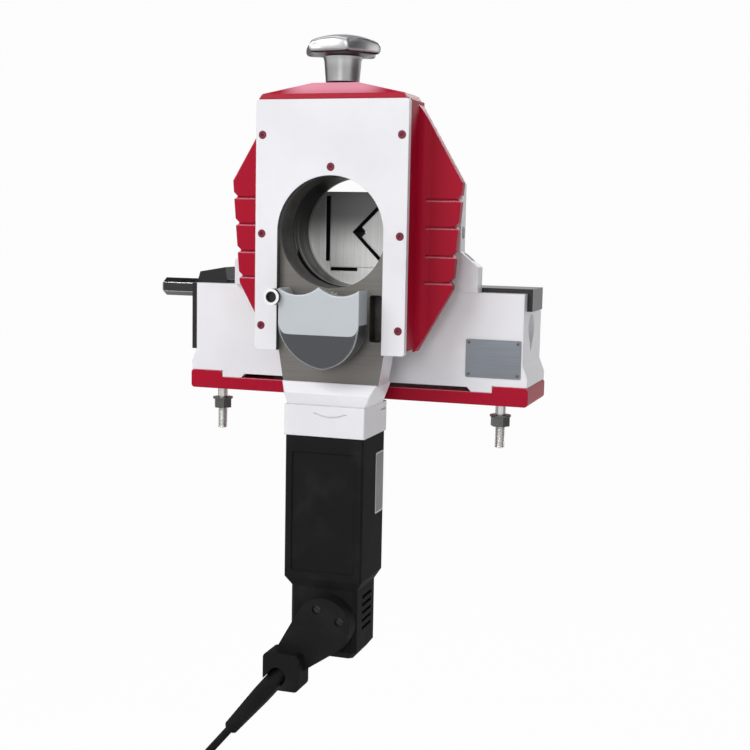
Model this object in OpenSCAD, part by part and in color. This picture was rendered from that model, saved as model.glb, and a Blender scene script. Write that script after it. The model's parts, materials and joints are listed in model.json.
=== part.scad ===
// Orbital pipe cutting machine for bench mounting.
// The pipe lies along Y and is held by two sliding jaws on the base. A rotor
// in the bearing upright swings the saw head round the pipe, and the hand knob
// feeds the saw head radially. Origin: centre of the mounting plate underside.

/* [Pipe passage] */
// Height of the pipe axis above the bench face
axis_h = 190; // [186:1:196]
// Radius of the pipe passage through rotor and front plate
bore_r = 61; // [58:0.5:62]
// Depth of the front plate's face ahead of the base centre
face_y = -134; // [-136:1:-134]

/* [Base] */
// Half width of the mounting plate
plate_hw = 206; // [205:1:212]
// Half depth of the base
base_hd = 49; // [49:0.5:50]
// Thickness of the mounting plate between its end blocks
plate_t = 14.5; // [12:0.5:15]
// Height of the end blocks
block_h = 22; // [20:0.5:24]
// Height of the casting's top
base_top = 126; // [126:1:128]
// Half distance between the two fixing studs
stud_x = 172; // [170:1:180]
// Radius of the fixing studs
stud_r = 6; // [5:0.5:6]
// Thickness of the bench that the studs pass through
bench_t = 12; // [10:1:16]

/* [Jaws] */
// Half height of the jaw inserts
jaw_hh = 41; // [38:1:42]
// Distance of each notch's vertex from the pipe axis when closed
jaw_vertex = 8.5; // [8:0.25:9]
// Gap between the two inserts' slanted faces when closed
jaw_gap = 4; // [3:0.5:5]
// Radius of the clamping spindle
spindle_r = 10; // [9:0.5:10]
// Width across flats of the spindle's drive end
hex_af = 19; // [17:1:19]

/* [Rotor] */
// Half width of the front plate
front_hw = 87; // [86:0.5:88]
// Top of the front plate above the pipe axis
front_top = 142; // [142:1:144]
// Bottom of the front plate below the pipe axis
front_low = 131; // [129:1:132]
// Thickness of the front plate
front_t = 8; // [6:0.5:8]
// Number of balls in the rotor bearing
ball_count = 24; // [12:1:30]

/* [Saw head] */
// Radius of the saw blade
blade_r = 34; // [31.5:0.5:34]
// Distance of the blade axis below the pipe axis
blade_drop = 95; // [95:0.5:96]
// Depth of the motor axis behind the front plate's face
motor_y = 34; // [34:0.5:35]
// Half width of the motor
motor_hw = 45.5; // [45:0.5:47]
// Half depth of the motor
motor_hd = 42; // [41:0.5:42]
// Number of teeth on the bevel wheel (three times the pinion's)
wheel_teeth = 30; // [30]
// Pitch module of the bevel pair at its large end
bevel_m = 1.8; // [1.7:0.05:1.8]

/* [Knob] */
// Radius of the star head
knob_r = 44.5; // [40:0.5:44.5]
// Number of hollows in the star head
knob_lobes = 6; // [5:1:7]

/* [Cord] */
// Diameter of the cord
cord_d = 9; // [8:0.5:9]
// Step from one loop to the next
loop_step = 9.8; // [9.6:0.1:11]
// Inner radius of the coil
loop_r = 37; // [36:1:40]
// Turns in each layer of the coil
loop_turns = 5; // [4:1:6]

/* [Hidden] */
$fn = 48;
white = [0.91, 0.91, 0.92];
crimson = [0.66, 0.06, 0.15];
black = [0.09, 0.09, 0.10];
steel = [0.62, 0.62, 0.61];
bright = [0.78, 0.79, 0.80];
bronze = [0.66, 0.50, 0.28];
slate = [0.70, 0.73, 0.76];

// Base: half widths of the casting, of its flared foot, and inner ends of the blocks
cast_hw = plate_hw - 7;
flare_hw = plate_hw - 1;
flare_z = block_h + 25;
block_x = plate_hw - 41;
arch_x = plate_hw - 70;

// Channel for the jaw carriages and the clamping spindle in it
chan_y0 = -31;
chan_y1 = 19;
chan_z = base_top - 41;
spin_y = -6;
spin_z = base_top - 8;
wall_x = cast_hw - 27;
bush_r = spindle_r + 3;
tail_bush_r = spindle_r;
drive_r = spindle_r - 1;
tail_r = spindle_r - 3.5;
nut_r = spindle_r + (axis_h - jaw_hh - spin_z) / 6.2;
drive_len = 55;
drive_end = cast_hw + 64;

// Jaws: front, thickness of the inserts, back of the carriages, backs of the inserts, and
// height of their tops above the pipe axis
jaw_y = -33.5;
jaw_t = 45;
jaw_back = jaw_y + jaw_t + 8.5;
left_back = 36;
right_back = 46;
screw_z = jaw_hh - 13;
jaw_up = jaw_hh + 5;

// Fixing studs: place, depth in the blocks, radius over the thread, and hanging length
stud_y = -32;
stud_depth = 16;
thread_r = stud_r - 0.4;
stud_hang = bench_t + 38;
nut_h = 10.8;
washer_t = 2;

// Rotor bearing
seat_r = bore_r + 27;
race_out = seat_r - 3.5;
ball_ring = race_out - 2.5;
race_in = ball_ring - 2.5;
journal_r = race_in - 4.5;
ball_r = 4.5;
brg_y0 = 80;
brg_y1 = 95;

// Upright: depth, foot on the casting, shoulder and its screws
up_y0 = brg_y0 - 1;
up_y1 = brg_y1 + 4;
foot = base_top - axis_h;
side_x = seat_r + 38;
foot_x = seat_r + 59;
up_screw_x = side_x + 7;
up_screw_y = (up_y0 + up_y1) / 2 + 3;

// Rotor: hub plate, rails and the slide between them
hub_hw = front_hw - 4;
hub_y0 = 46;
hub_y1 = 56;
hub_low = -front_low + 5;
hub_top = front_top - 7;
slide_hw = front_hw - 11;
slide_gap = 0.4;
slide_y0 = front_t + 1;
slide_y1 = hub_y0 - 0.5;
slide_top = front_top - 60;
case_y = hub_y1 - 1;
plate_screw_x = front_hw - 7.5;

// Bevel pair: both pitch cones meet where the two axes cross
wheel_r = bevel_m * wheel_teeth / 2;
pinion_teeth = wheel_teeth / 3;
pinion_r = bevel_m * pinion_teeth / 2;
cone_len = sqrt(wheel_r * wheel_r + pinion_r * pinion_r);
wheel_ang = atan2(wheel_r, pinion_r);

// Levels of the saw head below the pipe axis
slide_low = -165;
gear_low = -189;
collar_low = -223;
motor_low = -383;
cap_low = -474;
bend_z = slide_low - 13;
case_hw = bore_r - 3;
shaft_top = -134;

// Motor: collar and end cap beside the housing
collar_hw = motor_hw + 1.3;
collar_hd = motor_hd + 1;
cap_hw = motor_hw - 6.5;
cap_hd = motor_hd - 5;

// Guard: level of its widest place, wall, and hinge
guard_hw = 45.7;
guard_z = -blade_drop - 1.4;
guard_top = -58;
guard_wall = 3;
ogive_x = 5.9;
guard_y0 = -32;
guard_y1 = -3.5;
hinge_x = -52;
hinge_z = -70;
lug_r = 9;
pivot_r = 5;

// Knob: level of the head and heights of its neck, rim and domed top
knob_low = front_top + 19;
neck_h = 30;
knob_rim = 15;
knob_dome = 9;

// Elbow at the end cap: middle of its disc and end of its arm
disc_x = 6.5;
disc_z = -432;
disc_r = 32;
elbow_y0 = -24;
elbow_y1 = motor_y - cap_hd;

// Cord: direction in which it leaves the boot, and the coil's place
cord_dir = [-0.645, 0, -0.764];
boot_at = [-37, -23, -486];
boot_len = 45;
boot_ang = atan2(cord_dir[0], cord_dir[2]);
lead_len = 150;
cord_r = cord_d / 2;
entry_ang = 139.8;
coil_out = loop_r + loop_step * loop_turns;
lead_end = boot_at + cord_dir * (boot_len + lead_len);
run_end = lead_end + cord_dir * cord_d;
coil_at = [run_end[0] - coil_out * cos(entry_ang), run_end[1],
    run_end[2] - coil_out * sin(entry_ang)];
half_ang = 180;
out_turns = loop_turns - 0.5 + (180 - entry_ang) / 360;
turn_ang = loop_turns * 360 + half_ang + out_turns * 360;
coil_steps = 24;

module head() { translate([0, face_y, axis_h]) children(); }

module box(x0, x1, y0, y1, z0, z1) {
    translate([x0, y0, z0]) cube([x1 - x0, y1 - y0, z1 - z0]);
}

module along_y(y0, y1) {
    translate([0, y1, 0]) rotate([90, 0, 0]) linear_extrude(y1 - y0) children();
}

module along_x(x0, x1) {
    translate([x0, 0, 0]) rotate([90, 0, 90]) linear_extrude(x1 - x0) children();
}

module rod_x(y, z, x0, x1, r) {
    translate([x0, y, z]) rotate([0, 90, 0]) cylinder(h = x1 - x0, r = r);
}

module rod_y(x, z, y0, y1, r) {
    translate([x, y1, z]) rotate([90, 0, 0]) cylinder(h = y1 - y0, r = r);
}

module rod_z(x, y, z0, z1, r) {
    translate([x, y, z0]) cylinder(h = z1 - z0, r = r);
}

module ring_y(y0, y1, r_out, r_in) {
    difference() {
        rod_y(0, 0, y0, y1, r_out);
        rod_y(0, 0, y0 - 1, y1 + 1, r_in);
    }
}

module both_sides() {
    children();
    mirror([1, 0, 0]) children();
}

// Outline closed by the mirror image of its right half
module mirrored(half) {
    last = len(half) - 1;
    polygon(concat(half, [for (i = [0 : last]) [-half[last - i][0], half[last - i][1]]]));
}

// A rectangle with its front and back corners cut off by their own sizes
module front_rect(hx, hy, front, back) {
    polygon([[-hx + front, -hy], [hx - front, -hy], [hx, -hy + front], [hx, hy - back],
        [hx - back, hy], [-hx + back, hy], [-hx, hy - back], [-hx, -hy + front]]);
}

// A rectangle with round corners
module round_rect(x0, x1, z0, z1, r) {
    translate([x0 + r, z0]) square([x1 - x0 - 2 * r, z1 - z0]);
    translate([x0, z0 + r]) square([x1 - x0, z1 - z0 - 2 * r]);
    for (x = [x0 + r, x1 - r]) for (z = [z0 + r, z1 - r]) translate([x, z]) circle(r = r);
}

// Base

module mounting_plate() {
    color(crimson) difference() {
        along_y(-base_hd, base_hd) {
            translate([-block_x - 9, 0]) square([2 * block_x + 18, plate_t]);
            both_sides() round_rect(block_x, plate_hw, 0, block_h, 4);
        }
        both_sides() rod_z(stud_x, stud_y, -1, stud_depth, thread_r);
        // Relief round the shank at the bench face
        both_sides() rod_z(stud_x, stud_y, -1, 1, stud_r + 0.5);
    }
}

module base_casting() {
    low = plate_t;
    color(white) difference() {
        along_y(-base_hd, base_hd) mirrored([[arch_x, low + 5], [arch_x + 5, low],
            [block_x, low], [block_x, block_h], [flare_hw, block_h], [flare_hw, block_h + 10],
            [cast_hw, flare_z], [cast_hw, base_top]]);
        // Channel for the carriages
        box(-wall_x, wall_x, chan_y0, chan_y1, chan_z, base_top + 1);
        // Half-round seats of the spindle's bushes
        rod_x(spin_y, spin_z, -cast_hw - 1, -wall_x + 1, bush_r);
        rod_x(spin_y, spin_z, wall_x - 1, cast_hw + 1, tail_bush_r);
        box(-cast_hw - 1, -wall_x + 1, spin_y - bush_r, spin_y + bush_r, spin_z, base_top + 1);
        box(wall_x - 1, cast_hw + 1, spin_y - tail_bush_r, spin_y + tail_bush_r, spin_z,
            base_top + 1);
        // Seat of the rotor bearing in the front wall
        head() {
            rod_y(0, 0, brg_y0, brg_y1 + 0.5, seat_r);
            rod_y(0, 0, brg_y1 - 5, brg_y1 + 9, ball_ring);
        }
        // Hollow underside on both sides of a middle rib
        both_sides() box(6, block_x - 7, -base_hd + 11, base_hd - 11, 0, chan_z - 13);
        // Grip recess with a pointed foot in the right end
        along_x(cast_hw - 9, cast_hw + 10) union() {
            translate([spin_y, base_top - 40]) circle(r = 16);
            polygon([[spin_y - 15.5, base_top - 44], [spin_y + 15.5, base_top - 44],
                [spin_y, base_top - 68]]);
        }
        // Threads of the two upright screws
        both_sides() rod_z(up_screw_x, face_y + up_screw_y, base_top - 22, base_top + 1, 3.5);
    }
}

module bearing_upright() {
    color(white) head() difference() {
        along_y(up_y0, up_y1) mirrored([[seat_r - 13, seat_r + 54], [side_x, seat_r - 32],
            [side_x, foot + 45], [foot_x, foot + 28], [foot_x, foot]]);
        rod_y(0, 0, up_y0 - 1, brg_y1 + 0.5, seat_r);
        rod_y(0, 0, brg_y1 - 5, up_y1 + 1, ball_ring);
        // Round hole through each side, down to the bearing seat
        both_sides() rod_x(brg_y1 - 5, 2, seat_r + 12, side_x + 5, 7);
        // Counterbores for the screws in the feet
        both_sides() {
            rod_z(up_screw_x, up_screw_y, foot + 16, foot + 64, 6);
            rod_z(up_screw_x, up_screw_y, foot - 1, foot + 24, 3.5);
        }
    }
}

module upright_screws() {
    color(black) head() both_sides() difference() {
        union() {
            rod_z(up_screw_x, up_screw_y, foot + 16, foot + 22, 5.5);
            rod_z(up_screw_x, up_screw_y, foot - 20, foot + 17, 3.5);
        }
        translate([up_screw_x, up_screw_y, foot + 19]) cylinder(h = 4, r = 3.4, $fn = 6);
    }
}

module outer_bearing_ring() {
    color(steel) head() translate([0, (brg_y0 + brg_y1) / 2, 0]) rotate([90, 0, 0])
        difference() {
            translate([0, 0, (brg_y0 - brg_y1) / 2]) cylinder(h = brg_y1 - brg_y0, r = seat_r);
            translate([0, 0, -20]) cylinder(h = 40, r = race_out);
            rotate_extrude() translate([ball_ring, 0]) circle(r = ball_r + 0.4);
        }
}

module spindle_bushes() {
    color(bronze) {
        difference() {
            rod_x(spin_y, spin_z, -cast_hw, -wall_x, bush_r);
            rod_x(spin_y, spin_z, -cast_hw - 1, -wall_x + 1, drive_r + 0.05);
        }
        difference() {
            rod_x(spin_y, spin_z, wall_x, cast_hw, tail_bush_r);
            rod_x(spin_y, spin_z, wall_x - 1, cast_hw + 1, tail_r + 0.05);
        }
    }
}

module left_end_plate() {
    color(black) difference() {
        box(-flare_hw, -cast_hw, -base_hd, 26, flare_z, base_top);
        rod_x(spin_y, spin_z, -flare_hw - 1, -cast_hw + 1, drive_r + 3);
    }
}

module left_spindle_cover() {
    color(black) difference() {
        union() {
            along_y(-36, 24) polygon([[-flare_hw, base_top], [-block_x, base_top],
                [-block_x - 3, base_top + 19], [-flare_hw + 4, base_top + 13]]);
            // Low strip over the spindle towards the jaws
            box(-block_x - 1, 19 - block_x, -33, 24, base_top, base_top + 4);
        }
        rod_x(spin_y, spin_z, -cast_hw - 0.01, -wall_x + 1, bush_r);
        // Free way over the spindle
        rod_x(spin_y, spin_z, -flare_hw - 1, -cast_hw, drive_r + 3);
        rod_x(spin_y, spin_z, -wall_x, 20 - block_x, spindle_r + 1);
    }
}

module right_spindle_cover() {
    color(black) difference() {
        union() {
            box(arch_x - 3, flare_hw, -34, 24, base_top, base_top + 5);
            box(cast_hw, flare_hw, -34, 24, base_top - 20, base_top + 1);
        }
        rod_x(spin_y, spin_z, wall_x - 1, cast_hw, tail_bush_r);
        // Free way over the spindle
        rod_x(spin_y, spin_z, arch_x - 4, wall_x, spindle_r + 1);
    }
}

module rating_plate() {
    color(bright) along_y(-base_hd - 1, -base_hd)
        round_rect(cast_hw - 65, cast_hw - 2, block_h + 9, block_h + 52, 1.5);
}

module bench_studs() {
    color(steel) both_sides() {
        rod_z(stud_x, stud_y, -bench_t, 0, stud_r);
        rod_z(stud_x, stud_y, -stud_hang, stud_depth, thread_r);
    }
}

module bench_nuts() {
    color(steel) both_sides() difference() {
        union() {
            translate([stud_x, stud_y, -bench_t - washer_t - nut_h])
                cylinder(h = nut_h, r = 19 / sqrt(3), $fn = 6);
            rod_z(stud_x, stud_y, -bench_t - washer_t, -bench_t, 2 * stud_r);
        }
        rod_z(stud_x, stud_y, -stud_hang, 0, thread_r);
    }
}

// Jaws: each carriage runs in the channel on its own nut

module left_carriage() {
    color(steel) difference() {
        union() {
            box(-2 * left_back, 11 - left_back, chan_y0 + 0.5, chan_y1 - 0.5, chan_z + slide_gap,
                base_top + 1.5);
            box(-2 * left_back, -left_back, jaw_y, jaw_back, base_top + 1, axis_h + jaw_up);
            box(-left_back - 1, -14, jaw_y + jaw_t, jaw_back, axis_h - jaw_hh, axis_h + jaw_up);
            // Foot that carries the insert from below
            box(-left_back - 1, 22, jaw_y, jaw_back, base_top + 1, axis_h - jaw_hh);
        }
        // Grooves beside and below the insert
        box(-left_back - 5, 0.5 - left_back, jaw_y - 1, jaw_y + 7, axis_h - jaw_hh + 7,
            axis_h + jaw_hh);
        box(1 - left_back, -2, jaw_y - 1, jaw_y + 7, axis_h - jaw_hh - 4,
            axis_h - jaw_hh + 1);
        rod_x(spin_y, spin_z, -2 * left_back - 1, -left_back - 1, nut_r);
        rod_x(spin_y, spin_z, -left_back - 2, 23, spindle_r + 2);
        for (z = [-screw_z, screw_z]) rod_y(11 - left_back, axis_h + z, jaw_y + jaw_t - 1, jaw_back + 1, 3);
    }
}

module left_jaw() {
    color(bright) difference() {
        translate([0, 0, axis_h]) along_y(jaw_y, jaw_y + jaw_t) polygon([[-left_back, -jaw_hh],
            [jaw_hh - jaw_vertex, -jaw_hh], [-jaw_vertex, 0], [jaw_up - jaw_vertex, jaw_up],
            [-left_back, jaw_up]]);
        for (z = [-screw_z, screw_z])
            rod_y(11 - left_back, axis_h + z, jaw_y + jaw_t - 14, jaw_y + jaw_t + 1, 3);
    }
}

module left_jaw_screws() {
    color(black) for (z = [-screw_z, screw_z]) {
        rod_y(11 - left_back, axis_h + z, jaw_y + jaw_t - 14, jaw_back, 3);
        rod_y(11 - left_back, axis_h + z, jaw_back, jaw_back + 5, 5);
    }
}

module left_spindle_nut() {
    color(bronze) difference() {
        rod_x(spin_y, spin_z, -2 * left_back, -left_back - 1, nut_r);
        rod_x(spin_y, spin_z, -2 * left_back - 1, -left_back, spindle_r + slide_gap);
    }
}

module right_carriage() {
    color(steel) difference() {
        union() {
            box(right_back - 21, right_back + 24, chan_y0 + 0.5, chan_y1 - 0.5,
                chan_z + slide_gap, base_top + slide_gap);
            box(right_back, right_back + 24, jaw_y, jaw_back, base_top + slide_gap,
                axis_h + jaw_up);
            box(right_back - 12.5, right_back + 1, jaw_y + jaw_t, jaw_back, axis_h - jaw_hh,
                axis_h + jaw_up);
        }
        rod_x(spin_y, spin_z, right_back - 9, right_back + 25, nut_r);
        rod_x(spin_y, spin_z, right_back - 26, right_back - 6, spindle_r + 2);
        for (z = [-screw_z, screw_z]) rod_y(right_back - 6, axis_h + z, jaw_y + jaw_t - 1, jaw_back + 1, 3);
    }
}

module right_jaw() {
    apex = -jaw_vertex + jaw_gap * sqrt(2);
    tip = (jaw_vertex + apex) / 2;
    color(bright) difference() {
        translate([0, 0, axis_h]) along_y(jaw_y, jaw_y + jaw_t) polygon([
            [right_back, -jaw_hh], [right_back, jaw_up], [jaw_up + apex, jaw_up],
            [tip, tip - apex], [jaw_vertex, 0], [tip, apex - tip], [jaw_hh + apex, -jaw_hh]]);
        for (z = [-screw_z, screw_z])
            rod_y(right_back - 6, axis_h + z, jaw_y + jaw_t - 14, jaw_y + jaw_t + 1, 3);
    }
}

module right_jaw_screws() {
    color(black) for (z = [-screw_z, screw_z]) {
        rod_y(right_back - 6, axis_h + z, jaw_y + jaw_t - 14, jaw_back, 3);
        rod_y(right_back - 6, axis_h + z, jaw_back, jaw_back + 5, 5);
    }
}

module right_spindle_nut() {
    color(bronze) difference() {
        rod_x(spin_y, spin_z, right_back - 9, right_back + 24, nut_r);
        rod_x(spin_y, spin_z, right_back - 10, right_back + 25, spindle_r + slide_gap);
    }
}

module clamp_spindle() {
    color(steel) {
        rod_x(spin_y, spin_z, -wall_x + 0.5, wall_x - 0.5, spindle_r);
        rod_x(spin_y, spin_z, -cast_hw - 11, -wall_x + 0.6, drive_r);
        rod_x(spin_y, spin_z, wall_x - 0.6, cast_hw - 2, tail_r);
        translate([-drive_end, spin_y, spin_z]) rotate([0, 90, 0])
            cylinder(h = drive_len, r = hex_af / sqrt(3), $fn = 6);
    }
}

// Rotor

module rotor_hub() {
    color(steel) head() difference() {
        union() {
            box(-hub_hw, hub_hw, hub_y0, hub_y1, hub_low, hub_top);
            rod_y(0, 0, hub_y1 - 1, brg_y1, journal_r);
        }
        rod_y(0, 0, hub_y0 - 6, brg_y1 + 5, bore_r);
        box(-case_hw, case_hw, hub_y0 - 1, hub_y1, hub_low - 1, 0);
    }
}

module inner_bearing_ring() {
    color(steel) head() translate([0, (brg_y0 + brg_y1) / 2, 0]) rotate([90, 0, 0])
        difference() {
            translate([0, 0, (brg_y0 - brg_y1) / 2]) cylinder(h = brg_y1 - brg_y0, r = race_in);
            translate([0, 0, -20]) cylinder(h = 40, r = journal_r);
            rotate_extrude() translate([ball_ring, 0]) circle(r = ball_r);
        }
}

module bearing_balls() {
    color(bright) head() for (i = [0 : ball_count - 1]) {
        a = i * 360 / ball_count;
        translate([ball_ring * cos(a), (brg_y0 + brg_y1) / 2, ball_ring * sin(a)])
            sphere(r = ball_r);
    }
}

module retaining_ring() {
    color(steel) head() ring_y(brg_y1, brg_y1 + 4.5, race_in - 1.5, bore_r);
}

module guide_rails() {
    color(steel) head() both_sides() difference() {
        box(slide_hw + slide_gap, hub_hw, front_t, hub_y0, hub_low, hub_top);
        for (p = plate_points) if (p[0] > 0)
            rod_y(p[0], p[1], front_t - 1, front_t + 16, 2);
    }
}

module top_bridge() {
    color(steel) head() difference() {
        union() {
            box(-hub_hw, hub_hw, front_t, hub_y1, hub_top, front_top);
            rod_z(0, motor_y, front_top - 1, front_top + 14, 14);
        }
        rod_z(0, motor_y, hub_top - 1, front_top + 15, 8.05);
    }
}

plate_points = concat([[0, bore_r + 9]], [for (s = [-1, 1]) for (z = [front_top - 38, -3,
    27 - front_low]) [s * plate_screw_x, z]]);

module front_plate() {
    color(white) head() difference() {
        along_y(0, front_t) difference() {
            round_rect(-front_hw, front_hw, -front_low, front_top, 3);
            circle(r = bore_r);
            translate([-bore_r, -front_low - 1]) square([2 * bore_r, front_low + 1]);
        }
        for (p = plate_points) rod_y(p[0], p[1], -1, 4, 4.5);
        for (p = plate_points) rod_y(p[0], p[1], 3, front_t + 1, 2);
    }
}

module plate_screws() {
    color([0.42, 0.05, 0.09]) head() for (p = plate_points) difference() {
        union() {
            rod_y(p[0], p[1], 0.2, 4, 4.5);
            rod_y(p[0], p[1], 3, p[0] == 0 ? front_t : front_t + 16, 2);
        }
        translate([p[0], 2, p[1]]) rotate([90, 0, 0]) cylinder(h = 3, r = 2.3, $fn = 6);
    }
}

// Slanted outer edge of the right-hand cover, and the grooves that run out through it
function wing_edge(z) = front_hw + 48 - 9 * (56 - z) / 116;
wing_grooves = [37, 7, -24, -53];
wing_fillet = 14;

module wing() {
    polygon(concat([[front_hw - 2, front_top - 4], [front_hw, front_top - 4],
        [wing_edge(56), 56]], [for (z = wing_grooves) each [[wing_edge(z + 6), z + 6],
        [wing_edge(z) - 4, z + 1.8], [wing_edge(z), z - 1.8]]], [[wing_edge(-60), -60],
        [front_hw, 2 - front_low], [front_hw - 2, 2 - front_low]]));
}

module side_cover() {
    reach = wing_fillet - 2.5;
    color(crimson) head() difference() {
        union() {
            box(hub_hw, front_hw, front_t, hub_y1 + 1, hub_low, front_top);
            along_y(hub_y0, hub_y1 + 1) wing();
            // Hollow rounding from the wall into the wing
            intersection() {
                along_y(hub_y0 - reach - 1, hub_y0 + 2) wing();
                translate([0, 0, -front_low]) linear_extrude(front_low + front_top)
                    difference() {
                        translate([front_hw - 1, hub_y0 - reach]) square(reach + 1);
                        translate([front_hw + wing_fillet, hub_y0 - wing_fillet])
                            circle(r = wing_fillet + 0.3);
                    }
            }
        }
        for (z = wing_grooves)
            box(front_hw + 8, front_hw + 60, hub_y0 - 5, hub_y0 + 2, z - 1.3, z + 1.3);
    }
}

module left_side_cover() { mirror([1, 0, 0]) side_cover(); }

module right_side_cover() { side_cover(); }

// Hip roof over the bridge
module roof(inset, low, high) {
    edge = front_hw - 3 - inset;
    hull() {
        box(-edge, edge, inset, hub_y1 - inset, low, low + 1);
        box(3 - edge, edge - 3, inset + 1.5, hub_y1 - inset - 1, high - 13, high - 12);
        box(-26 + inset / 2, 26 - inset / 2, motor_y - 24 + inset / 2, hub_y1 - 2 - inset / 2,
            high - 1, high);
    }
}

module top_cover() {
    color(crimson) head() difference() {
        roof(0, front_top, front_top + 18);
        roof(4, front_top - 1, front_top + 15);
        rod_z(0, motor_y, front_top, front_top + 20, 15);
    }
}

// Knob and feed spindle

module hand_knob() {
    dome_r = (knob_r * knob_r + knob_dome * knob_dome) / (2 * knob_dome);
    head_h = knob_rim + knob_dome;
    color(bright) head() translate([0, motor_y, knob_low]) difference() {
        union() {
            cylinder(h = neck_h + 1, r1 = 18.5, r2 = 21.4);
            translate([0, 0, neck_h]) intersection() {
                linear_extrude(head_h) difference() {
                    circle(r = knob_r);
                    for (i = [0 : knob_lobes - 1]) rotate((i + 0.5) * 360 / knob_lobes)
                        translate([2 * knob_r + 1, 0]) circle(r = 1.24 * knob_r);
                }
                translate([0, 0, head_h - dome_r]) sphere(r = dome_r);
            }
        }
        rod_z(0, 0, -1, neck_h + 11, 8);
    }
}

module feed_spindle() {
    color(steel) head() {
        rod_z(0, motor_y, hub_top, knob_low + neck_h + 11, 8);
        rod_z(0, motor_y, bore_r + 2, hub_top + 1, 6);
    }
}

// Radial slide with the gear case; it surrounds the pipe passage

module slide_frame() {
    color(steel) head() difference() {
        union() {
            along_y(slide_y0, slide_y1) mirrored([[slide_hw, slide_top],
                [slide_hw, slide_low + 45], [bore_r + 1, slide_low + 37],
                [case_hw - 2, slide_low]]);
            box(-46, 46, slide_y1 - 5, case_y, slide_low, -bore_r - 2);
            rod_y(0, -blade_drop, -8, slide_y0 + 1, 19);
        }
        rod_y(0, 0, 0, case_y + 5, bore_r);
        // Bore for the feed nut and free way for the feed spindle
        rod_z(0, motor_y, bore_r - 11, slide_top + 8, 10);
        // Gear room, bearing seats, and the way up for the pinion
        rod_y(0, -blade_drop, 14, case_y + 5, 29.5);
        rod_y(0, -blade_drop, -9, 4, 14);
        rod_y(0, -blade_drop, -9, 15, 10);
        rod_z(0, motor_y, slide_low - 1, -blade_drop, 13);
        // Thread for the guard's bolt
        rod_y(hinge_x, hinge_z, slide_y0 - 1, slide_y0 + 15, 4);
        // Chip port beside the blade
        along_y(slide_y0 - 1, slide_y0 + 20) round_rect(44, case_hw, -118, -67, 3);
    }
}

module feed_nut() {
    color(bronze) head() difference() {
        rod_z(0, motor_y, bore_r + 3, slide_top, 10);
        rod_z(0, motor_y, bore_r - 1, slide_top + 8, 6 + slide_gap);
        rod_y(0, 0, 0, case_y + 5, bore_r);
    }
}

module gear_case_cover() {
    color(steel) head() translate([0, 0, -blade_drop]) difference() {
        rod_y(0, 0, case_y - 10, case_y, 29.5);
        rod_y(0, 0, case_y - 11, case_y - 2, 14);
        box(-30, 30, case_y - 15, case_y + 5, 29, 40);
    }
}

// Slab of the gearbox with its two front corners cut off
module front_cut(hw, y0, z, c) {
    translate([0, 0, z]) linear_extrude(1) polygon([[-hw + c, y0], [hw - c, y0], [hw, y0 + c],
        [hw, case_y], [-hw, case_y], [-hw, y0 + c]]);
}

module gearbox_housing() {
    color(white) head() difference() {
        union() {
            hull() {
                front_cut(case_hw - 2.5, 5, slide_low - 1, 1);
                front_cut(case_hw - 7, -2, bend_z, 2);
            }
            hull() {
                front_cut(case_hw - 7, -2, bend_z, 2);
                front_cut(collar_hw, -2, gear_low, 2);
            }
        }
        rod_z(0, motor_y, gear_low - 1, slide_low + 1, 13);
    }
}

module motor_collar() {
    color(white) head() translate([0, motor_y, 0]) difference() {
        translate([0, 0, collar_low]) linear_extrude(gear_low - collar_low)
            front_rect(collar_hw, collar_hd, 1, 8);
        rod_z(0, 0, collar_low - 1, gear_low + 1, 13);
        rod_z(0, 0, collar_low + 6, collar_low + 20, 16);
        rod_z(0, 0, collar_low - 1, collar_low + 6, 30);
        // Arched groove across the front
        along_y(-collar_hd - 1, 1.2 - collar_hd) intersection() {
            translate([6.7, gear_low + 28]) difference() {
                circle(r = 41);
                circle(r = 39.4);
            }
            translate([-40, gear_low - 14]) square([90, 6]);
        }
        // Slot in the right side
        box(collar_hw - 1.2, collar_hw + 1, 14, 32, gear_low - 9, gear_low - 7.2);
    }
}

module motor_housing() {
    color(black) head() translate([0, motor_y, 0]) difference() {
        translate([0, 0, motor_low]) linear_extrude(collar_low - motor_low)
            front_rect(motor_hw, motor_hd, 2, 10);
        rod_z(0, 0, motor_low - 1, collar_low + 1, motor_hd - 5);
        // Recessed panel on the front and the seat of the switch on the left
        along_y(-motor_hd - 1, 1.5 - motor_hd)
            round_rect(8 - motor_hw, motor_hw - 8, motor_low + 7, collar_low - 18, 3);
        box(-motor_hw - 1, -motor_hw + 5, -8, 8, collar_low - 55, collar_low - 15);
        // Seat for the brushes' holders
        both_sides() box(motor_hd - 12, motor_hw - 4, -5, 5, motor_low + 19, motor_low + 33);
    }
}

module motor_end_cap() {
    color(black) head() translate([0, motor_y, 0]) difference() {
        union() {
            hull() {
                translate([0, 0, motor_low - 1]) linear_extrude(1)
                    front_rect(motor_hw, motor_hd, 2, 10);
                translate([0, 0, motor_low - 12]) linear_extrude(1) front_rect(cap_hw, cap_hd, 4, 11);
            }
            translate([0, 0, cap_low + 8]) linear_extrude(motor_low - cap_low - 19)
                front_rect(cap_hw, cap_hd, 4, 11);
            hull() {
                translate([0, 0, cap_low + 8]) linear_extrude(1) front_rect(cap_hw, cap_hd, 4, 11);
                translate([0, 0, cap_low]) linear_extrude(1)
                    front_rect(cap_hw - 6, cap_hd - 6, 4, 11);
            }
        }
        rod_z(0, 0, cap_low + 8, motor_low + 1, cap_hd - 6);
        // Air slots on both sides and at the back
        for (i = [0 : 4]) translate([0, 0, motor_low - 24 - i * 9]) {
            box(-motor_hw, motor_hw, -16, 16, -2, 2);
            box(-16, 16, 0, motor_hw, -2, 2);
        }
    }
}

module stator() {
    color([0.35, 0.33, 0.32]) head() translate([0, motor_y, 0]) difference() {
        rod_z(0, 0, motor_low + 45, collar_low - 29, motor_hd - 5);
        rod_z(0, 0, motor_low + 41, collar_low - 24, 25);
    }
}

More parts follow.
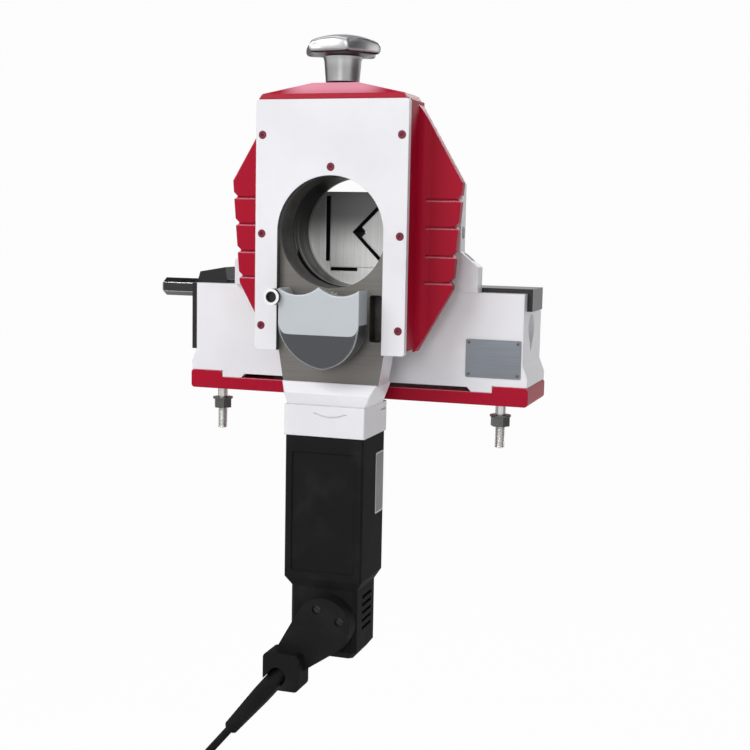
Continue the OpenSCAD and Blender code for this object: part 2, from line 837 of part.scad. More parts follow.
module blade_shaft_bearings() {
    color(bright) head() translate([0, 0, -blade_drop]) {
        ring_y(-8, 4, 14, 8.05);
        ring_y(case_y - 10, case_y - 2, 14, 8.05);
    }
}

module armature_bearings() {
    color(bright) head() translate([0, motor_y, 0]) {
        difference() {
            rod_z(0, 0, collar_low + 6, collar_low + 18, 16);
            rod_z(0, 0, collar_low, collar_low + 30, 6.05);
        }
        difference() {
            rod_z(0, 0, cap_low + 8, cap_low + 20, cap_hd - 6);
            rod_z(0, 0, cap_low, cap_low + 30, 6.05);
        }
    }
}

module carbon_brushes() {
    color([0.22, 0.22, 0.23]) head() translate([0, motor_y, 0])
        both_sides() box(15.5, motor_hw - 4, -5, 5, motor_low + 19, motor_low + 33);
}

// Screws of the elbow from its disc's middle
elbow_points = [[-6.9, 18.4], [19.7, 7.2]];

module cable_elbow() {
    color(black) head() difference() {
        union() {
            hull() {
                rod_y(disc_x, disc_z, elbow_y0, elbow_y1, disc_r, $fn = 32);
                rod_y(disc_x - 44, disc_z - 48, elbow_y0, elbow_y1, 17, $fn = 32);
            }
            along_y(elbow_y0 - 14, elbow_y0 + 16) round_rect(disc_x - 64, disc_x - 21,
                disc_z - 74, disc_z - 32, 6);
        }
        for (p = elbow_points) rod_y(disc_x + p[0], disc_z + p[1], elbow_y0 - 1, elbow_y0 + 7, 5);
        // Socket of the boot, open towards the front in an arch
        translate(boot_at) rotate([0, boot_ang, 0]) {
            translate([0, 0, -8]) cylinder(h = 70, r = 9);
            translate([-10.5, -20, 6]) cube([21, 20, 64]);
            translate([0, 0, 6]) rotate([90, 0, 0]) cylinder(h = 20, r = 10.5);
        }
    }
}

module elbow_screws() {
    color(steel) head() for (p = elbow_points) translate([disc_x + p[0], 0, disc_z + p[1]])
        difference() {
            rod_y(0, 0, elbow_y0 + 3, elbow_y0 + 7, 5);
            rotate([0, 35, 0]) box(-6, 6, elbow_y0 + 2, elbow_y0 + 4, -0.7, 0.7);
        }
}

module guard_pivot_bolt() {
    color(bright) head() difference() {
        union() {
            rod_y(hinge_x, hinge_z, guard_y0 - 2, slide_y0, pivot_r);
            rod_y(hinge_x, hinge_z, slide_y0 - 1, slide_y0 + 15, 4);
            rod_y(hinge_x, hinge_z, guard_y0 - 6, guard_y0 - slide_gap, lug_r);
        }
        translate([hinge_x, guard_y0 - 3, hinge_z]) rotate([90, 0, 0])
            cylinder(h = 4, r = pivot_r, $fn = 6);
    }
}

// Cord, its coil and plug

function unit(v) = v / norm(v);

function ring_points(p, t, r, n) = let(u = unit([0, 1, 0] - t * t[1]), w = cross(t, u))
    [for (k = [0 : n - 1]) p + r * (cos(k * 360 / n) * u + sin(k * 360 / n) * w)];

module tube(path, r, n) {
    last = len(path) - 1;
    dirs = [for (i = [0 : last]) unit(path[min(i + 1, last)] - path[max(i - 1, 0)])];
    points = [for (i = [0 : last]) each ring_points(path[i], dirs[i], r, n)];
    sides = [for (i = [0 : last - 1]) for (k = [0 : n - 1]) let(a = i * n + k,
        b = i * n + (k + 1) % n) each [[a, b, a + n], [b, b + n, a + n]]];
    ends = [[for (k = [0 : n - 1]) n - 1 - k], [for (k = [0 : n - 1]) last * n + k]];
    polyhedron(points, concat(sides, ends));
}

module cord_boot() {
    color(black) head() translate(boot_at) rotate([0, boot_ang, 0]) difference() {
        union() {
            cylinder(h = boot_len, r1 = 9, r2 = 6.5);
            translate([0, 0, -8]) cylinder(h = 8, r = 9);
        }
        translate([0, 0, 20]) cylinder(h = 30, r = cord_r);
    }
}

// Radius and level along the coil: in on the first layer, out on the second
function coil_rad(a) = let(h = loop_turns * 360 + half_ang / 2)
    coil_out - loop_step * (a < h ? a : 2 * h - a) / 360;
function coil_rise(a) = let(s = (a - loop_turns * 360) / half_ang)
    loop_step * (s < 0 ? 0 : s > 1 ? 1 : s);
function coil_point(a) = coil_at + [coil_rad(a) * cos(entry_ang + a), coil_rise(a),
    coil_rad(a) * sin(entry_ang + a)];

coil_count = ceil(turn_ang / 360 * coil_steps);
coil_path = [for (i = [0 : coil_count]) coil_point(i * turn_ang / coil_count)];
coil_end = coil_path[coil_count];
tail_at = coil_end + [0, 0, -cord_d];
tail_len = 150;
coil_length = 2 * PI / 360 * (loop_turns * 360 * (coil_out + loop_r) / 2
    + half_ang * (loop_r - loop_step / 8) + out_turns * 360 * (coil_out + loop_r) / 2);
loop_gap = min([for (i = [0 : coil_count]) for (j = [i + coil_steps / 2 : 1 : coil_count])
    norm(coil_path[i] - coil_path[j])]) - cord_d;
echo(cord_length = 25 + lead_len + 2 * cord_d + coil_length + tail_len, loop_gap = loop_gap);

module cord_lead() {
    color(black) head() tube([for (s = [20, 32, boot_len, 70, 95, 120, 145, 170, boot_len + lead_len])
        boot_at + cord_dir * s], cord_r, 12);
}

module cord_coil() {
    color(black) head() tube(concat([lead_end], coil_path, [tail_at]), cord_r, 6);
}

module cord_tail() {
    color(black) head() tube([for (i = [0 : 6]) tail_at - [0, 0, i * tail_len / 6]],
        cord_r, 12);
}

module plug() {
    z = tail_at[2] - tail_len;
    color(black) head() translate([tail_at[0], tail_at[1], z]) {
        translate([0, 0, -24]) cylinder(h = 24, r1 = 13, r2 = 7);
        translate([0, 0, -50]) cylinder(h = 26, r = 18);
        for (x = [-9.5, 9.5]) translate([x, 0, -69]) cylinder(h = 20, r = 2.4);
    }
}

// Bevel pair. A tooth's flanks all run to the point where the axes cross.

module bevel_tooth(ang, inner, m) {
    p = PI * m;
    add = 0.8 * m;
    ded = 1.15 * m;
    half = [[-0.23 * p, -ded], [0.23 * p, -ded], [0.10 * p, add], [-0.10 * p, add]];
    points = [for (len = [inner, cone_len]) for (h = half) let(s = len / cone_len)
        [len * sin(ang) + h[1] * s * cos(ang), h[0] * s, -len * cos(ang) + h[1] * s * sin(ang)]];
    polyhedron(points, [[0, 1, 2, 3], [4, 5, 1, 0], [7, 6, 5, 4], [5, 6, 2, 1],
        [6, 7, 3, 2], [7, 4, 0, 3]]);
}

module bevel_gear(ang, teeth, shift, m) {
    inner = cone_len - 9;
    ded = 1.0 * m;
    r1 = cone_len * sin(ang) - ded * cos(ang);
    z1 = -cone_len * cos(ang) - ded * sin(ang);
    s = inner / cone_len;
    for (i = [0 : teeth - 1]) rotate(i * 360 / teeth + shift) bevel_tooth(ang, inner, m);
    translate([0, 0, z1]) cylinder(h = z1 * (s - 1), r1 = r1, r2 = r1 * s);
    children();
}

module blade_shaft() {
    color(steel) head() translate([0, 0, -blade_drop]) {
        rod_y(0, 0, -13, case_y - 2.5, 8);
        rod_y(0, 0, -13, -8.5, 12);
        rod_y(0, 0, -22, -12, 6);
        translate([0, -15, 0]) rotate([90, 0, 0]) cylinder(h = 8, r = 19 / sqrt(3), $fn = 6);
    }
}

module drive_gear() {
    top = -cone_len * cos(wheel_ang);
    color(bronze) head() translate([0, motor_y, -blade_drop]) difference() {
        rotate([-90, 0, 0]) bevel_gear(wheel_ang, wheel_teeth, 0, bevel_m)
            translate([0, 0, top - 8]) cylinder(h = 6.4, r = wheel_r - 1);
        rod_y(0, 0, -40, 20, 8);
    }
}

module saw_blade() {
    color(bright) head() translate([0, 0, -blade_drop]) along_y(-15, -13) difference() {
        union() {
            circle(r = blade_r - 2);
            for (i = [0 : 43]) rotate(i * 360 / 44) polygon([[blade_r - 4, -1.8],
                [blade_r, -1.6], [blade_r - 0.6, -0.6], [blade_r - 3, 1.8]]);
        }
        circle(r = 6);
    }
}

module armature() {
    fan_z = collar_low - 25;
    color([0.55, 0.42, 0.30]) head() translate([0, motor_y, 0]) {
        rod_z(0, 0, cap_low + 9, shaft_top, 6);
        rod_z(0, 0, motor_low + 49, collar_low - 33, 24);
        rod_z(0, 0, motor_low + 15, motor_low + 37, 15);
        // Cooling fan above the windings
        rod_z(0, 0, fan_z, fan_z + 4, 33);
        for (i = [0 : 8]) rotate(i * 40) box(10, 32, -1, 1, fan_z + 3, fan_z + 14);
        rod_z(0, 0, fan_z, fan_z + 18, 11);
    }
}

module drive_pinion() {
    low = -cone_len * cos(90 - wheel_ang) - bevel_m * sin(90 - wheel_ang) + 0.02;
    color(steel) head() translate([0, motor_y, -blade_drop]) difference() {
        bevel_gear(90 - wheel_ang, pinion_teeth, 180 / pinion_teeth, bevel_m)
            translate([0, 0, low - 16]) cylinder(h = 16, r = pinion_r - 1.8);
        rod_z(0, 0, -60, shaft_top + blade_drop, 6);
    }
}

// Guard: a pointed shield with a slanted lower half, open at the top and the back

module guard_outline(wall, top) {
    r = guard_hw + ogive_x - wall;
    translate([wall - guard_hw, guard_z]) square([2 * (guard_hw - wall), top - guard_z]);
    intersection() {
        translate([-ogive_x, guard_z]) circle(r = r);
        translate([ogive_x, guard_z]) circle(r = r);
        translate([-2 * guard_hw, guard_z - 2 * guard_hw]) square([4 * guard_hw,
            2 * guard_hw + 1]);
    }
}

module blade_guard() {
    slant_z = guard_z - 13;
    low = guard_z - 54;
    y_low = guard_y0 + 12.6;
    color(slate) head() difference() {
        union() {
            intersection() {
                along_y(guard_y0 - 1, guard_y1) difference() {
                    guard_outline(0, guard_top);
                    for (s = [-1, 1]) translate([s * 24.25, guard_top + 28.3])
                        circle(r = 37.3);
                }
                along_x(-60, 60) polygon([[guard_y0, guard_top + 8], [guard_y1, guard_top + 8],
                    [guard_y1, low], [y_low, low], [guard_y0, slant_z]]);
            }
            rod_y(hinge_x, hinge_z, guard_y0, guard_y1, lug_r);
        }
        intersection() {
            along_y(guard_y0 + guard_wall, guard_y1 + 3) guard_outline(guard_wall, guard_top + 20);
            along_x(-60, 60) polygon([[guard_y0 + guard_wall, guard_top + 30],
                [guard_y1 + 3, guard_top + 30], [guard_y1 + 3, low],
                [y_low + guard_wall + 0.2, low], [guard_y0 + guard_wall, slant_z + 0.5]]);
            // The wall beside the hinge stays
            difference() {
                box(-60, 60, guard_y0, 0, low, guard_top + 30);
                rod_y(hinge_x, hinge_z, guard_y0 - 20, 10, lug_r + 3);
            }
        }
        rod_y(hinge_x, hinge_z, guard_y0 - 8, 0, pivot_r + 0.05);
    }
}

module power_switch() {
    low = collar_low - 47;
    color([0.75, 0.08, 0.08]) head() translate([0, motor_y, 0]) difference() {
        box(-motor_hw - 2, -motor_hw + 4.6, -7, 7, low, low + 26);
        for (i = [0 : 3])
            box(-motor_hw - 3, -motor_hw - 1, -8, 8, low + 6 + i * 4, low + 7.5 + i * 4);
    }
}

mounting_plate();
base_casting();
bearing_upright();
upright_screws();
outer_bearing_ring();
spindle_bushes();
left_end_plate();
left_spindle_cover();
right_spindle_cover();
rating_plate();
bench_studs();
bench_nuts();
left_carriage();
left_jaw();
left_jaw_screws();
left_spindle_nut();
right_carriage();
right_jaw();
right_jaw_screws();
right_spindle_nut();
clamp_spindle();
rotor_hub();
inner_bearing_ring();
bearing_balls();
retaining_ring();
guide_rails();
top_bridge();
front_plate();
plate_screws();
left_side_cover();
right_side_cover();
top_cover();
hand_knob();
feed_spindle();
slide_frame();
feed_nut();
gear_case_cover();
gearbox_housing();
motor_collar();
motor_housing();
motor_end_cap();
stator();
blade_shaft_bearings();
armature_bearings();
carbon_brushes();
cable_elbow();
elbow_screws();
guard_pivot_bolt();
cord_boot();
cord_lead();
cord_coil();
cord_tail();
plug();
blade_shaft();
drive_gear();
saw_blade();
armature();
drive_pinion();
blade_guard();
power_switch();
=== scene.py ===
"""Looks of an orbital pipe cutting machine.

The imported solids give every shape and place. This script dresses them, and adds the
cord, its ties and boot, the threads, the polished star knob, rivets and bare plates.
All lengths are in metres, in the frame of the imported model.
"""

from __future__ import annotations

import json
import logging
import math
from dataclasses import dataclass
from enum import Enum
from typing import Union

import bpy
import numpy as np
from mathutils import Matrix, Vector

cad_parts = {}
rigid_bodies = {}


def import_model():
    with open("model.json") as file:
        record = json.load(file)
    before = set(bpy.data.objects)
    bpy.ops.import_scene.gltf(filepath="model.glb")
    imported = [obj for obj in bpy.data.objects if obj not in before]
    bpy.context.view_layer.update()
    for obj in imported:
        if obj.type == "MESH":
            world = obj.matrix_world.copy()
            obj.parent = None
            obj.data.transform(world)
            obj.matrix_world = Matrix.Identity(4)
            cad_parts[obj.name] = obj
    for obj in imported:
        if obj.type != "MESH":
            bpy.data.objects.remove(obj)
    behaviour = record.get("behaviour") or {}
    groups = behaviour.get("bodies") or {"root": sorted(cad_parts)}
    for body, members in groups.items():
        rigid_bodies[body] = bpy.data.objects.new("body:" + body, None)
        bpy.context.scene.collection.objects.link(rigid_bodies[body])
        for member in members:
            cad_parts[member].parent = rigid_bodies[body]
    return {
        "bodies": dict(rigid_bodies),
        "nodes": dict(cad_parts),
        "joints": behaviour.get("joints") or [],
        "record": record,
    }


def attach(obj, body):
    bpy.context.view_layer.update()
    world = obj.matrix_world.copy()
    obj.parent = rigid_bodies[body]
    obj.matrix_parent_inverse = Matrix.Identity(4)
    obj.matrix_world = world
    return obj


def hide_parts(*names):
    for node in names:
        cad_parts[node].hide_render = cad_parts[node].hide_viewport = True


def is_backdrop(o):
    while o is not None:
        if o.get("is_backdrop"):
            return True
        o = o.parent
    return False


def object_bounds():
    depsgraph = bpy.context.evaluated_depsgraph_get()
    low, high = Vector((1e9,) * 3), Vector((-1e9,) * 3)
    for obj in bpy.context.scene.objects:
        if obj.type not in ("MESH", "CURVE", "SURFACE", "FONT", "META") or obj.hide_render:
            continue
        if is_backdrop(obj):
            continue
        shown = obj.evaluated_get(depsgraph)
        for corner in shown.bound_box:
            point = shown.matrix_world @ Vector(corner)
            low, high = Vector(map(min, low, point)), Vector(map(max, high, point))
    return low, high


LOG = logging.getLogger("pipe_cutter")
MM = 0.001
TAU = 2 * math.pi
# The saw head's own zero, where the front plate's face meets the pipe axis
FACE_Y = -134.0
AXIS_H = 190.0
# Waves per metre of the noise in the finishes
PAINT_CLOUDS = 9.0
PAINT_CHIPS = 60.0
METAL_PATCHES = 14.0
SHADE_MOTTLES = 45.0
FINGER_SMEARS = 38.0
POLISH_DOTS = 900.0
DUST_CLOUDS = 24.0
LACQUER_CLOUDS = 18.0
LACQUER_FLAKES = 1500.0
LATHE_SMEARS = 30.0
LATHE_BANDS = 130.0
HEAD_SCUFFS = 200.0

Colour = tuple[float, float, float]
Point = tuple[float, float, float]
Span = tuple[float, float]
Number = Union[float, "Field"]


class Body(Enum):
    """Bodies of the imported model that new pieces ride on."""

    BASE = "base"
    SPINDLE = "spindle"
    KNOB = "knob"
    SLIDE = "slide"


class Along(Enum):
    """Direction in which a metal was ground, as scales of the scratch pattern."""

    X = (14.0, 1100.0, 1100.0)
    Y = (1100.0, 14.0, 1100.0)
    Z = (1100.0, 1100.0, 14.0)


def head(points: np.ndarray) -> np.ndarray:
    """Move points from the saw head's zero, in millimetres, into the frame in metres.

    Args:
        points: Array whose last axis holds x, depth behind the plate's face and height.

    Returns:
        The same array in metres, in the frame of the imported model.
    """
    return (np.asarray(points, float) + np.array([0.0, FACE_Y, AXIS_H])) * MM


class Field:
    """A number that varies over a surface: Python operators on it add Math nodes."""

    def __init__(self, graph: "Graph", socket: bpy.types.NodeSocket) -> None:
        """Keep the graph and the socket that carries the number."""
        self.graph = graph
        self.socket = socket

    def _math(self, operation: str, first: Number, second: Number) -> "Field":
        """Add one Math node.

        Args:
            operation: Name of the Math node's operation.
            first: Value or field of its first input.
            second: Value or field of its second input.

        Returns:
            The node's result.
        """
        return self.graph.field(
            "ShaderNodeMath", {"operation": operation}, {0: first, 1: second}
        )

    def __add__(self, other: Number) -> "Field":
        """Sum."""
        return self._math("ADD", self, other)

    def __radd__(self, other: Number) -> "Field":
        """Sum with a number on the left."""
        return self._math("ADD", other, self)

    def __sub__(self, other: Number) -> "Field":
        """Difference."""
        return self._math("SUBTRACT", self, other)

    def __rsub__(self, other: Number) -> "Field":
        """Difference from a number on the left."""
        return self._math("SUBTRACT", other, self)

    def __mul__(self, other: Number) -> "Field":
        """Product."""
        return self._math("MULTIPLY", self, other)

    def __rmul__(self, other: Number) -> "Field":
        """Product with a number on the left."""
        return self._math("MULTIPLY", other, self)

    def __pow__(self, other: Number) -> "Field":
        """Power."""
        return self._math("POWER", self, other)

    def larger(self, other: Number) -> "Field":
        """The larger of the two."""
        return self._math("MAXIMUM", self, other)

    def ramp(self, low: float, high: float) -> "Field":
        """Rise smoothly from 0 at low to 1 at high.

        Args:
            low: Value at which the result is 0.
            high: Value at which the result is 1.

        Returns:
            The eased and clamped field.
        """
        return self.graph.field(
            "ShaderNodeMapRange",
            {"interpolation_type": "SMOOTHSTEP"},
            {"Value": self, "From Min": low, "From Max": high},
        )


class Graph:
    """The node graph of one material or world, with the shader that it feeds."""

    def __init__(self, owner: bpy.types.ID, shader: str = "Principled BSDF") -> None:
        """Keep the owner's tree and its shader of that name."""
        owner.use_nodes = True
        self.tree = owner.node_tree
        self.shader = self.tree.nodes[shader]
        self._place: bpy.types.NodeSocket | None = None

    def node(self, kind: str, settings: dict, inputs: dict) -> bpy.types.Node:
        """Add a node.

        Args:
            kind: Blender's type name of the node.
            settings: Properties of the node, set before its sockets.
            inputs: Values, fields or sockets by input name or number.

        Returns:
            The new node.
        """
        made = self.tree.nodes.new(kind)
        for key, value in settings.items():
            setattr(made, key, value)
        for key, value in inputs.items():
            self.feed(made.inputs[key], value)
        return made

    def feed(self, socket: bpy.types.NodeSocket, value: object) -> None:
        """Link or set an input socket, whichever the value asks for."""
        if isinstance(value, Field):
            self.tree.links.new(value.socket, socket)
        elif isinstance(value, bpy.types.NodeSocket):
            self.tree.links.new(value, socket)
        else:
            socket.default_value = value

    def field(self, kind: str, settings: dict, inputs: dict, out: int = 0) -> Field:
        """Add a node and wrap one of its outputs as a field."""
        return Field(self, self.node(kind, settings, inputs).outputs[out])

    def seen(self) -> Field:
        """1 for rays that show the surface: the camera's, reflected and passed ones."""
        rays = self.node("ShaderNodeLightPath", {}, {}).outputs
        shown = Field(self, rays["Is Camera Ray"])
        for name in ("Is Glossy Ray", "Is Transmission Ray"):
            shown = shown.larger(Field(self, rays[name]))
        return shown

    @property
    def place(self) -> bpy.types.NodeSocket:
        """Object coordinates, in metres, shared by all patterns of the material."""
        if self._place is None:
            self._place = self.node("ShaderNodeTexCoord", {}, {}).outputs["Object"]
        return self._place

    def axis(self, name: str) -> Field:
        """One coordinate of the place, x, y or z."""
        split = self.node("ShaderNodeSeparateXYZ", {}, {0: self.place})
        return Field(self, split.outputs[name.upper()])

    def facing(self, name: str, normal: bpy.types.NodeSocket | None = None) -> Field:
        """One coordinate of the direction that a face points in, on its own piece.

        Args:
            name: x, y or z.
            normal: Normal to take in place of the face's true one.

        Returns:
            The coordinate, from -1 to 1.
        """
        if normal is None:
            normal = self.node("ShaderNodeNewGeometry", {}, {}).outputs["True Normal"]
        own = self.node(
            "ShaderNodeVectorTransform",
            {"vector_type": "NORMAL", "convert_from": "WORLD", "convert_to": "OBJECT"},
            {0: normal},
        ).outputs[0]
        split = self.node("ShaderNodeSeparateXYZ", {}, {0: own})
        return Field(self, split.outputs[name.upper()])

    def far(self, centre: Point) -> Field:
        """Distance from an axis along Y.

        Args:
            centre: A point on the axis, in metres.

        Returns:
            The distance, in metres.
        """
        spot = self.node(
            "ShaderNodeVectorMath", {"operation": "SUBTRACT"}, {0: self.place, 1: centre}
        ).outputs[0]
        flat = self.node(
            "ShaderNodeVectorMath",
            {"operation": "MULTIPLY"},
            {0: spot, 1: (1.0, 0.0, 1.0)},
        ).outputs[0]
        return self.field("ShaderNodeVectorMath", {"operation": "LENGTH"}, {0: flat}, 1)

    def noise(
        self, scale: float, detail: float = 3.0, stretch: Point = (1.0, 1.0, 1.0)
    ) -> Field:
        """Smooth noise over the piece.

        Args:
            scale: Waves per metre before stretching.
            detail: Octaves of finer noise.
            stretch: Factors on x, y and z.

        Returns:
            A field about 0.5.
        """
        spot = self.node("ShaderNodeMapping", {}, {0: self.place, 3: stretch}).outputs[0]
        return self.field(
            "ShaderNodeTexNoise", {}, {"Vector": spot, "Scale": scale, "Detail": detail}
        )

    def blend(self, share: Number, first: object, second: object) -> bpy.types.NodeSocket:
        """Mix two colours.

        Args:
            share: Share of the second colour.
            first: Colour at 0.
            second: Colour at 1.

        Returns:
            The mixed colour's socket.
        """
        return self.node(
            "ShaderNodeMix",
            {"data_type": "RGBA"},
            {0: share, 6: as_rgba(first), 7: as_rgba(second)},
        ).outputs[2]

    def rounded(self, radius: float) -> bpy.types.NodeSocket:
        """Normal that turns gently over edges of that radius."""
        return self.node("ShaderNodeBevel", {"samples": 4}, {"Radius": radius}).outputs[0]

    def edge(self, soft: bpy.types.NodeSocket) -> Field:
        """How near an edge a point is: 0 on a flat face, rising over an edge.

        Args:
            soft: The rounded normal.

        Returns:
            One less the cosine between the true and the rounded normal.
        """
        true = self.node("ShaderNodeNewGeometry", {}, {}).outputs["True Normal"]
        facing = self.node(
            "ShaderNodeVectorMath", {"operation": "DOT_PRODUCT"}, {0: true, 1: soft}
        )
        return 1.0 - Field(self, facing.outputs["Value"])

    def bump(
        self, height: Field, strength: float, depth: float, normal: object = None
    ) -> bpy.types.NodeSocket:
        """Turn a height field into a normal.

        Args:
            height: The height, 0 to 1.
            strength: Share of the effect.
            depth: Height of one unit, in metres.
            normal: Normal to start from, or None for the surface's own.

        Returns:
            The new normal's socket.
        """
        inputs: dict = {"Height": height, "Strength": strength, "Distance": depth}
        if normal is not None:
            inputs["Normal"] = normal
        return self.node("ShaderNodeBump", {}, inputs).outputs[0]

    def set(self, **sockets: object) -> None:
        """Feed the shader's sockets, named with underscores for spaces."""
        for key, value in sockets.items():
            name = key.replace("_", " ")
            if name == "Base Color":
                value = as_rgba(value)
            self.feed(self.shader.inputs[name], value)


def as_rgba(value: object) -> object:
    """A plain colour with its alpha, or a socket as it is."""
    return (*value, 1.0) if isinstance(value, tuple) and len(value) == 3 else value


def tint(colour: Colour, factor: float) -> Colour:
    """A colour made lighter or darker by a factor, kept below 1."""
    return tuple(min(1.0, part * factor) for part in colour)


@dataclass(frozen=True)
class Finish:
    """What every finish has: a name, a colour, its gloss and how round its edges are."""

    name: str
    colour: Colour
    roughness: float = 0.4
    edge: float = 0.0008

    def material(self) -> bpy.types.Material:
        """Make the material once, and find it again after that."""
        title = f"{self.name}_finish"
        found = bpy.data.materials.get(title)
        if found is not None:
            return found
        made = bpy.data.materials.new(title)
        self.shade(Graph(made))
        return made

    def shade(self, graph: Graph) -> None:
        """Feed the shader's sockets."""
        graph.set(Base_Color=self.colour, Roughness=self.roughness)


@dataclass(frozen=True)
class Paint(Finish):
    """Sprayed machine paint: a fine pebbled skin, faint clouds and rubbed edges."""

    coat: float = 0.25
    grain: float = 520.0
    worn: Colour = (0.75, 0.75, 0.76)
    wear: float = 0.35
    specular: float = 0.3
    pebble: float = 0.0004
    coat_roughness: float = 0.12

    def shade(self, graph: Graph) -> None:
        """Clouded colour, pebble bump and edges rubbed lighter where noise lets it."""
        soft = graph.rounded(self.edge)
        clouds = graph.noise(PAINT_CLOUDS, 4.0)
        skin = graph.noise(self.grain, 2.0)
        colour = graph.blend(
            clouds.ramp(0.3, 0.7), tint(self.colour, 0.95), tint(self.colour, 1.03)
        )
        chips = graph.noise(PAINT_CHIPS, 3.0).ramp(0.4, 0.62)
        rub = graph.edge(soft).ramp(0.02, 0.2) * chips
        colour = graph.blend(rub * self.wear, colour, self.worn)
        colour = self.over(graph, colour, soft)
        rough = clouds * 0.12 + (self.roughness - 0.06)
        graph.set(
            Base_Color=colour,
            Roughness=rough,
            Specular_IOR_Level=self.specular,
            Coat_Weight=self.coat,
            Coat_Roughness=self.coat_roughness,
            Normal=graph.bump(skin, 0.16, self.pebble, soft),
        )

    def over(self, graph: Graph, colour: object, soft: bpy.types.NodeSocket) -> object:
        """What lies over the paint's colour: nothing here."""
        return colour


@dataclass(frozen=True)
class Cover(Paint):
    """Red cover paint, with a painted highlight on the crest of the roof and along edges that
    face up.
    """

    painted_highlight: Colour = (0.95, 0.42, 0.54)
    crest: Span = (0.326, 0.346)
    crest_half: Span = (0.03, 0.064)
    edge_share: float = 0.9
    crest_share: float = 0.95

    def over(self, graph: Graph, colour: object, soft: bpy.types.NodeSocket) -> object:
        """Rounded edges turned upwards, and the top of the roof's slopes, get the painted
        highlight.
        """
        edge = graph.edge(soft).ramp(0.01, 0.1) * graph.facing("z", soft).ramp(0.1, 0.4)
        colour = graph.blend(edge * self.edge_share, colour, self.painted_highlight)
        low, high = self.crest
        crest = graph.facing("z").ramp(0.3, 0.7) * graph.axis("z").ramp(low, high)
        across = graph.axis("x")
        near, away = self.crest_half
        middle = 1.0 - (across * across).ramp(near**2, away**2)
        share = crest * middle * self.crest_share
        return graph.blend(share, colour, self.painted_highlight)


@dataclass(frozen=True)
class Front(Paint):
    """Front plate's paint, with painted shade on the walls of the opening for the pipe."""

    painted_shade: Colour = (0.05, 0.05, 0.052)
    opening: float = 0.062
    fringe: float = 0.001

    def over(self, graph: Graph, colour: object, soft: bpy.types.NodeSocket) -> object:
        """Faces inside the opening's width that don't point forwards get the painted shade."""
        across = graph.axis("x")
        outside = (self.opening + self.fringe) ** 2
        inside = 1.0 - (across * across).ramp(self.opening**2, outside)
        forward = graph.facing("y")
        wall = 1.0 - (forward * forward).ramp(0.2, 0.5)
        return graph.blend(inside * wall, colour, self.painted_shade)


@dataclass(frozen=True)
class Ground(Finish):
    """Bare metal ground along one direction, with fine scratches and dull patches."""

    along: Along = Along.X
    metallic: float = 1.0
    depth: float = 0.00012
    stain: Colour = (0.16, 0.14, 0.12)
    stained: float = 0.25
    streaks: float = 0.08
    edge_highlight: float = 0.0
    # Colour of the painted edge highlight.
    bright: Colour = (0.95, 0.95, 0.95)

    def shade(self, graph: Graph) -> None:
        """Streaks steer colour, gloss and bump; noise stains it; edges may get a painted
        highlight.
        """
        soft = graph.rounded(self.edge)
        streak = graph.noise(1.0, 4.0, self.along.value)
        patch = graph.noise(METAL_PATCHES, 5.0)
        base = graph.blend(
            streak.ramp(0.3, 0.7),
            tint(self.colour, 1.0 - self.streaks),
            tint(self.colour, 1.0 + self.streaks),
        )
        base = graph.blend(patch.ramp(0.45, 0.75) * self.stained, base, self.stain)
        # Painted highlight: rounded edges turn towards the bright colour.
        rim = graph.edge(soft).ramp(0.005, 0.08)
        base = graph.blend(rim * self.edge_highlight, base, self.bright)
        base = self.over(graph, base)
        rough = streak * 0.16 + patch * 0.14 + (self.roughness - 0.15)
        graph.set(
            Base_Color=base,
            Metallic=self.metallic,
            Roughness=self.dull(graph, rough),
            Normal=graph.bump(streak, 2 * self.streaks, self.depth, soft),
        )

    def over(self, graph: Graph, colour: object) -> object:
        """What lies over the bare metal's colour: nothing here."""
        return colour

    def dull(self, graph: Graph, rough: Field) -> Field:
        """What dulls the bare metal's gloss: nothing here."""
        return rough


@dataclass(frozen=True)
class Jaw(Ground):
    """Jaw steel: painted shade in the grooves and on the slanting grips, and painted shade
    towards the top.
    """

    grip_shade: Colour = (0.006, 0.006, 0.006)
    grip_shade_dull: float = 0.6
    top: float = 0.236
    gloom: float = 0.97
    gloom_from: Span = (0.166, 0.212)
    top_fade: float = 0.001
    groove: Span = (-0.0331, -0.0262)
    groove_fade: Span = (0.0008, 0.0004)
    dimmed: float = 0.15

    def grip_shade_mask(self, graph: Graph) -> Field:
        """1 where shade is painted: on the slanting grips and in the sunk grooves below the
        jaw's top.
        """
        slant_x = graph.facing("x")
        slant_z = graph.facing("z")
        slanted = (slant_x * slant_x * slant_z * slant_z).ramp(0.15, 0.22)
        depth = graph.axis("y")
        start, end = self.groove
        fade_in, fade_out = self.groove_fade
        sunk = depth.ramp(start, start + fade_in) * (1.0 - depth.ramp(end, end + fade_out))
        sunk = sunk * (1.0 - graph.axis("z").ramp(self.top - self.top_fade, self.top))
        return slanted.larger(sunk)

    def over(self, graph: Graph, colour: object) -> object:
        """The height lays a soft painted shade, and the painted shade of the grips and grooves
        lies over it.
        """
        height = graph.axis("z").ramp(*self.gloom_from)
        colour = graph.blend(height * self.gloom, colour, tint(self.colour, self.dimmed))
        return graph.blend(self.grip_shade_mask(graph), colour, self.grip_shade)

    def dull(self, graph: Graph, rough: Field) -> Field:
        """Where shade is painted, the gloss is taken away too."""
        return rough + self.grip_shade_mask(graph) * self.grip_shade_dull


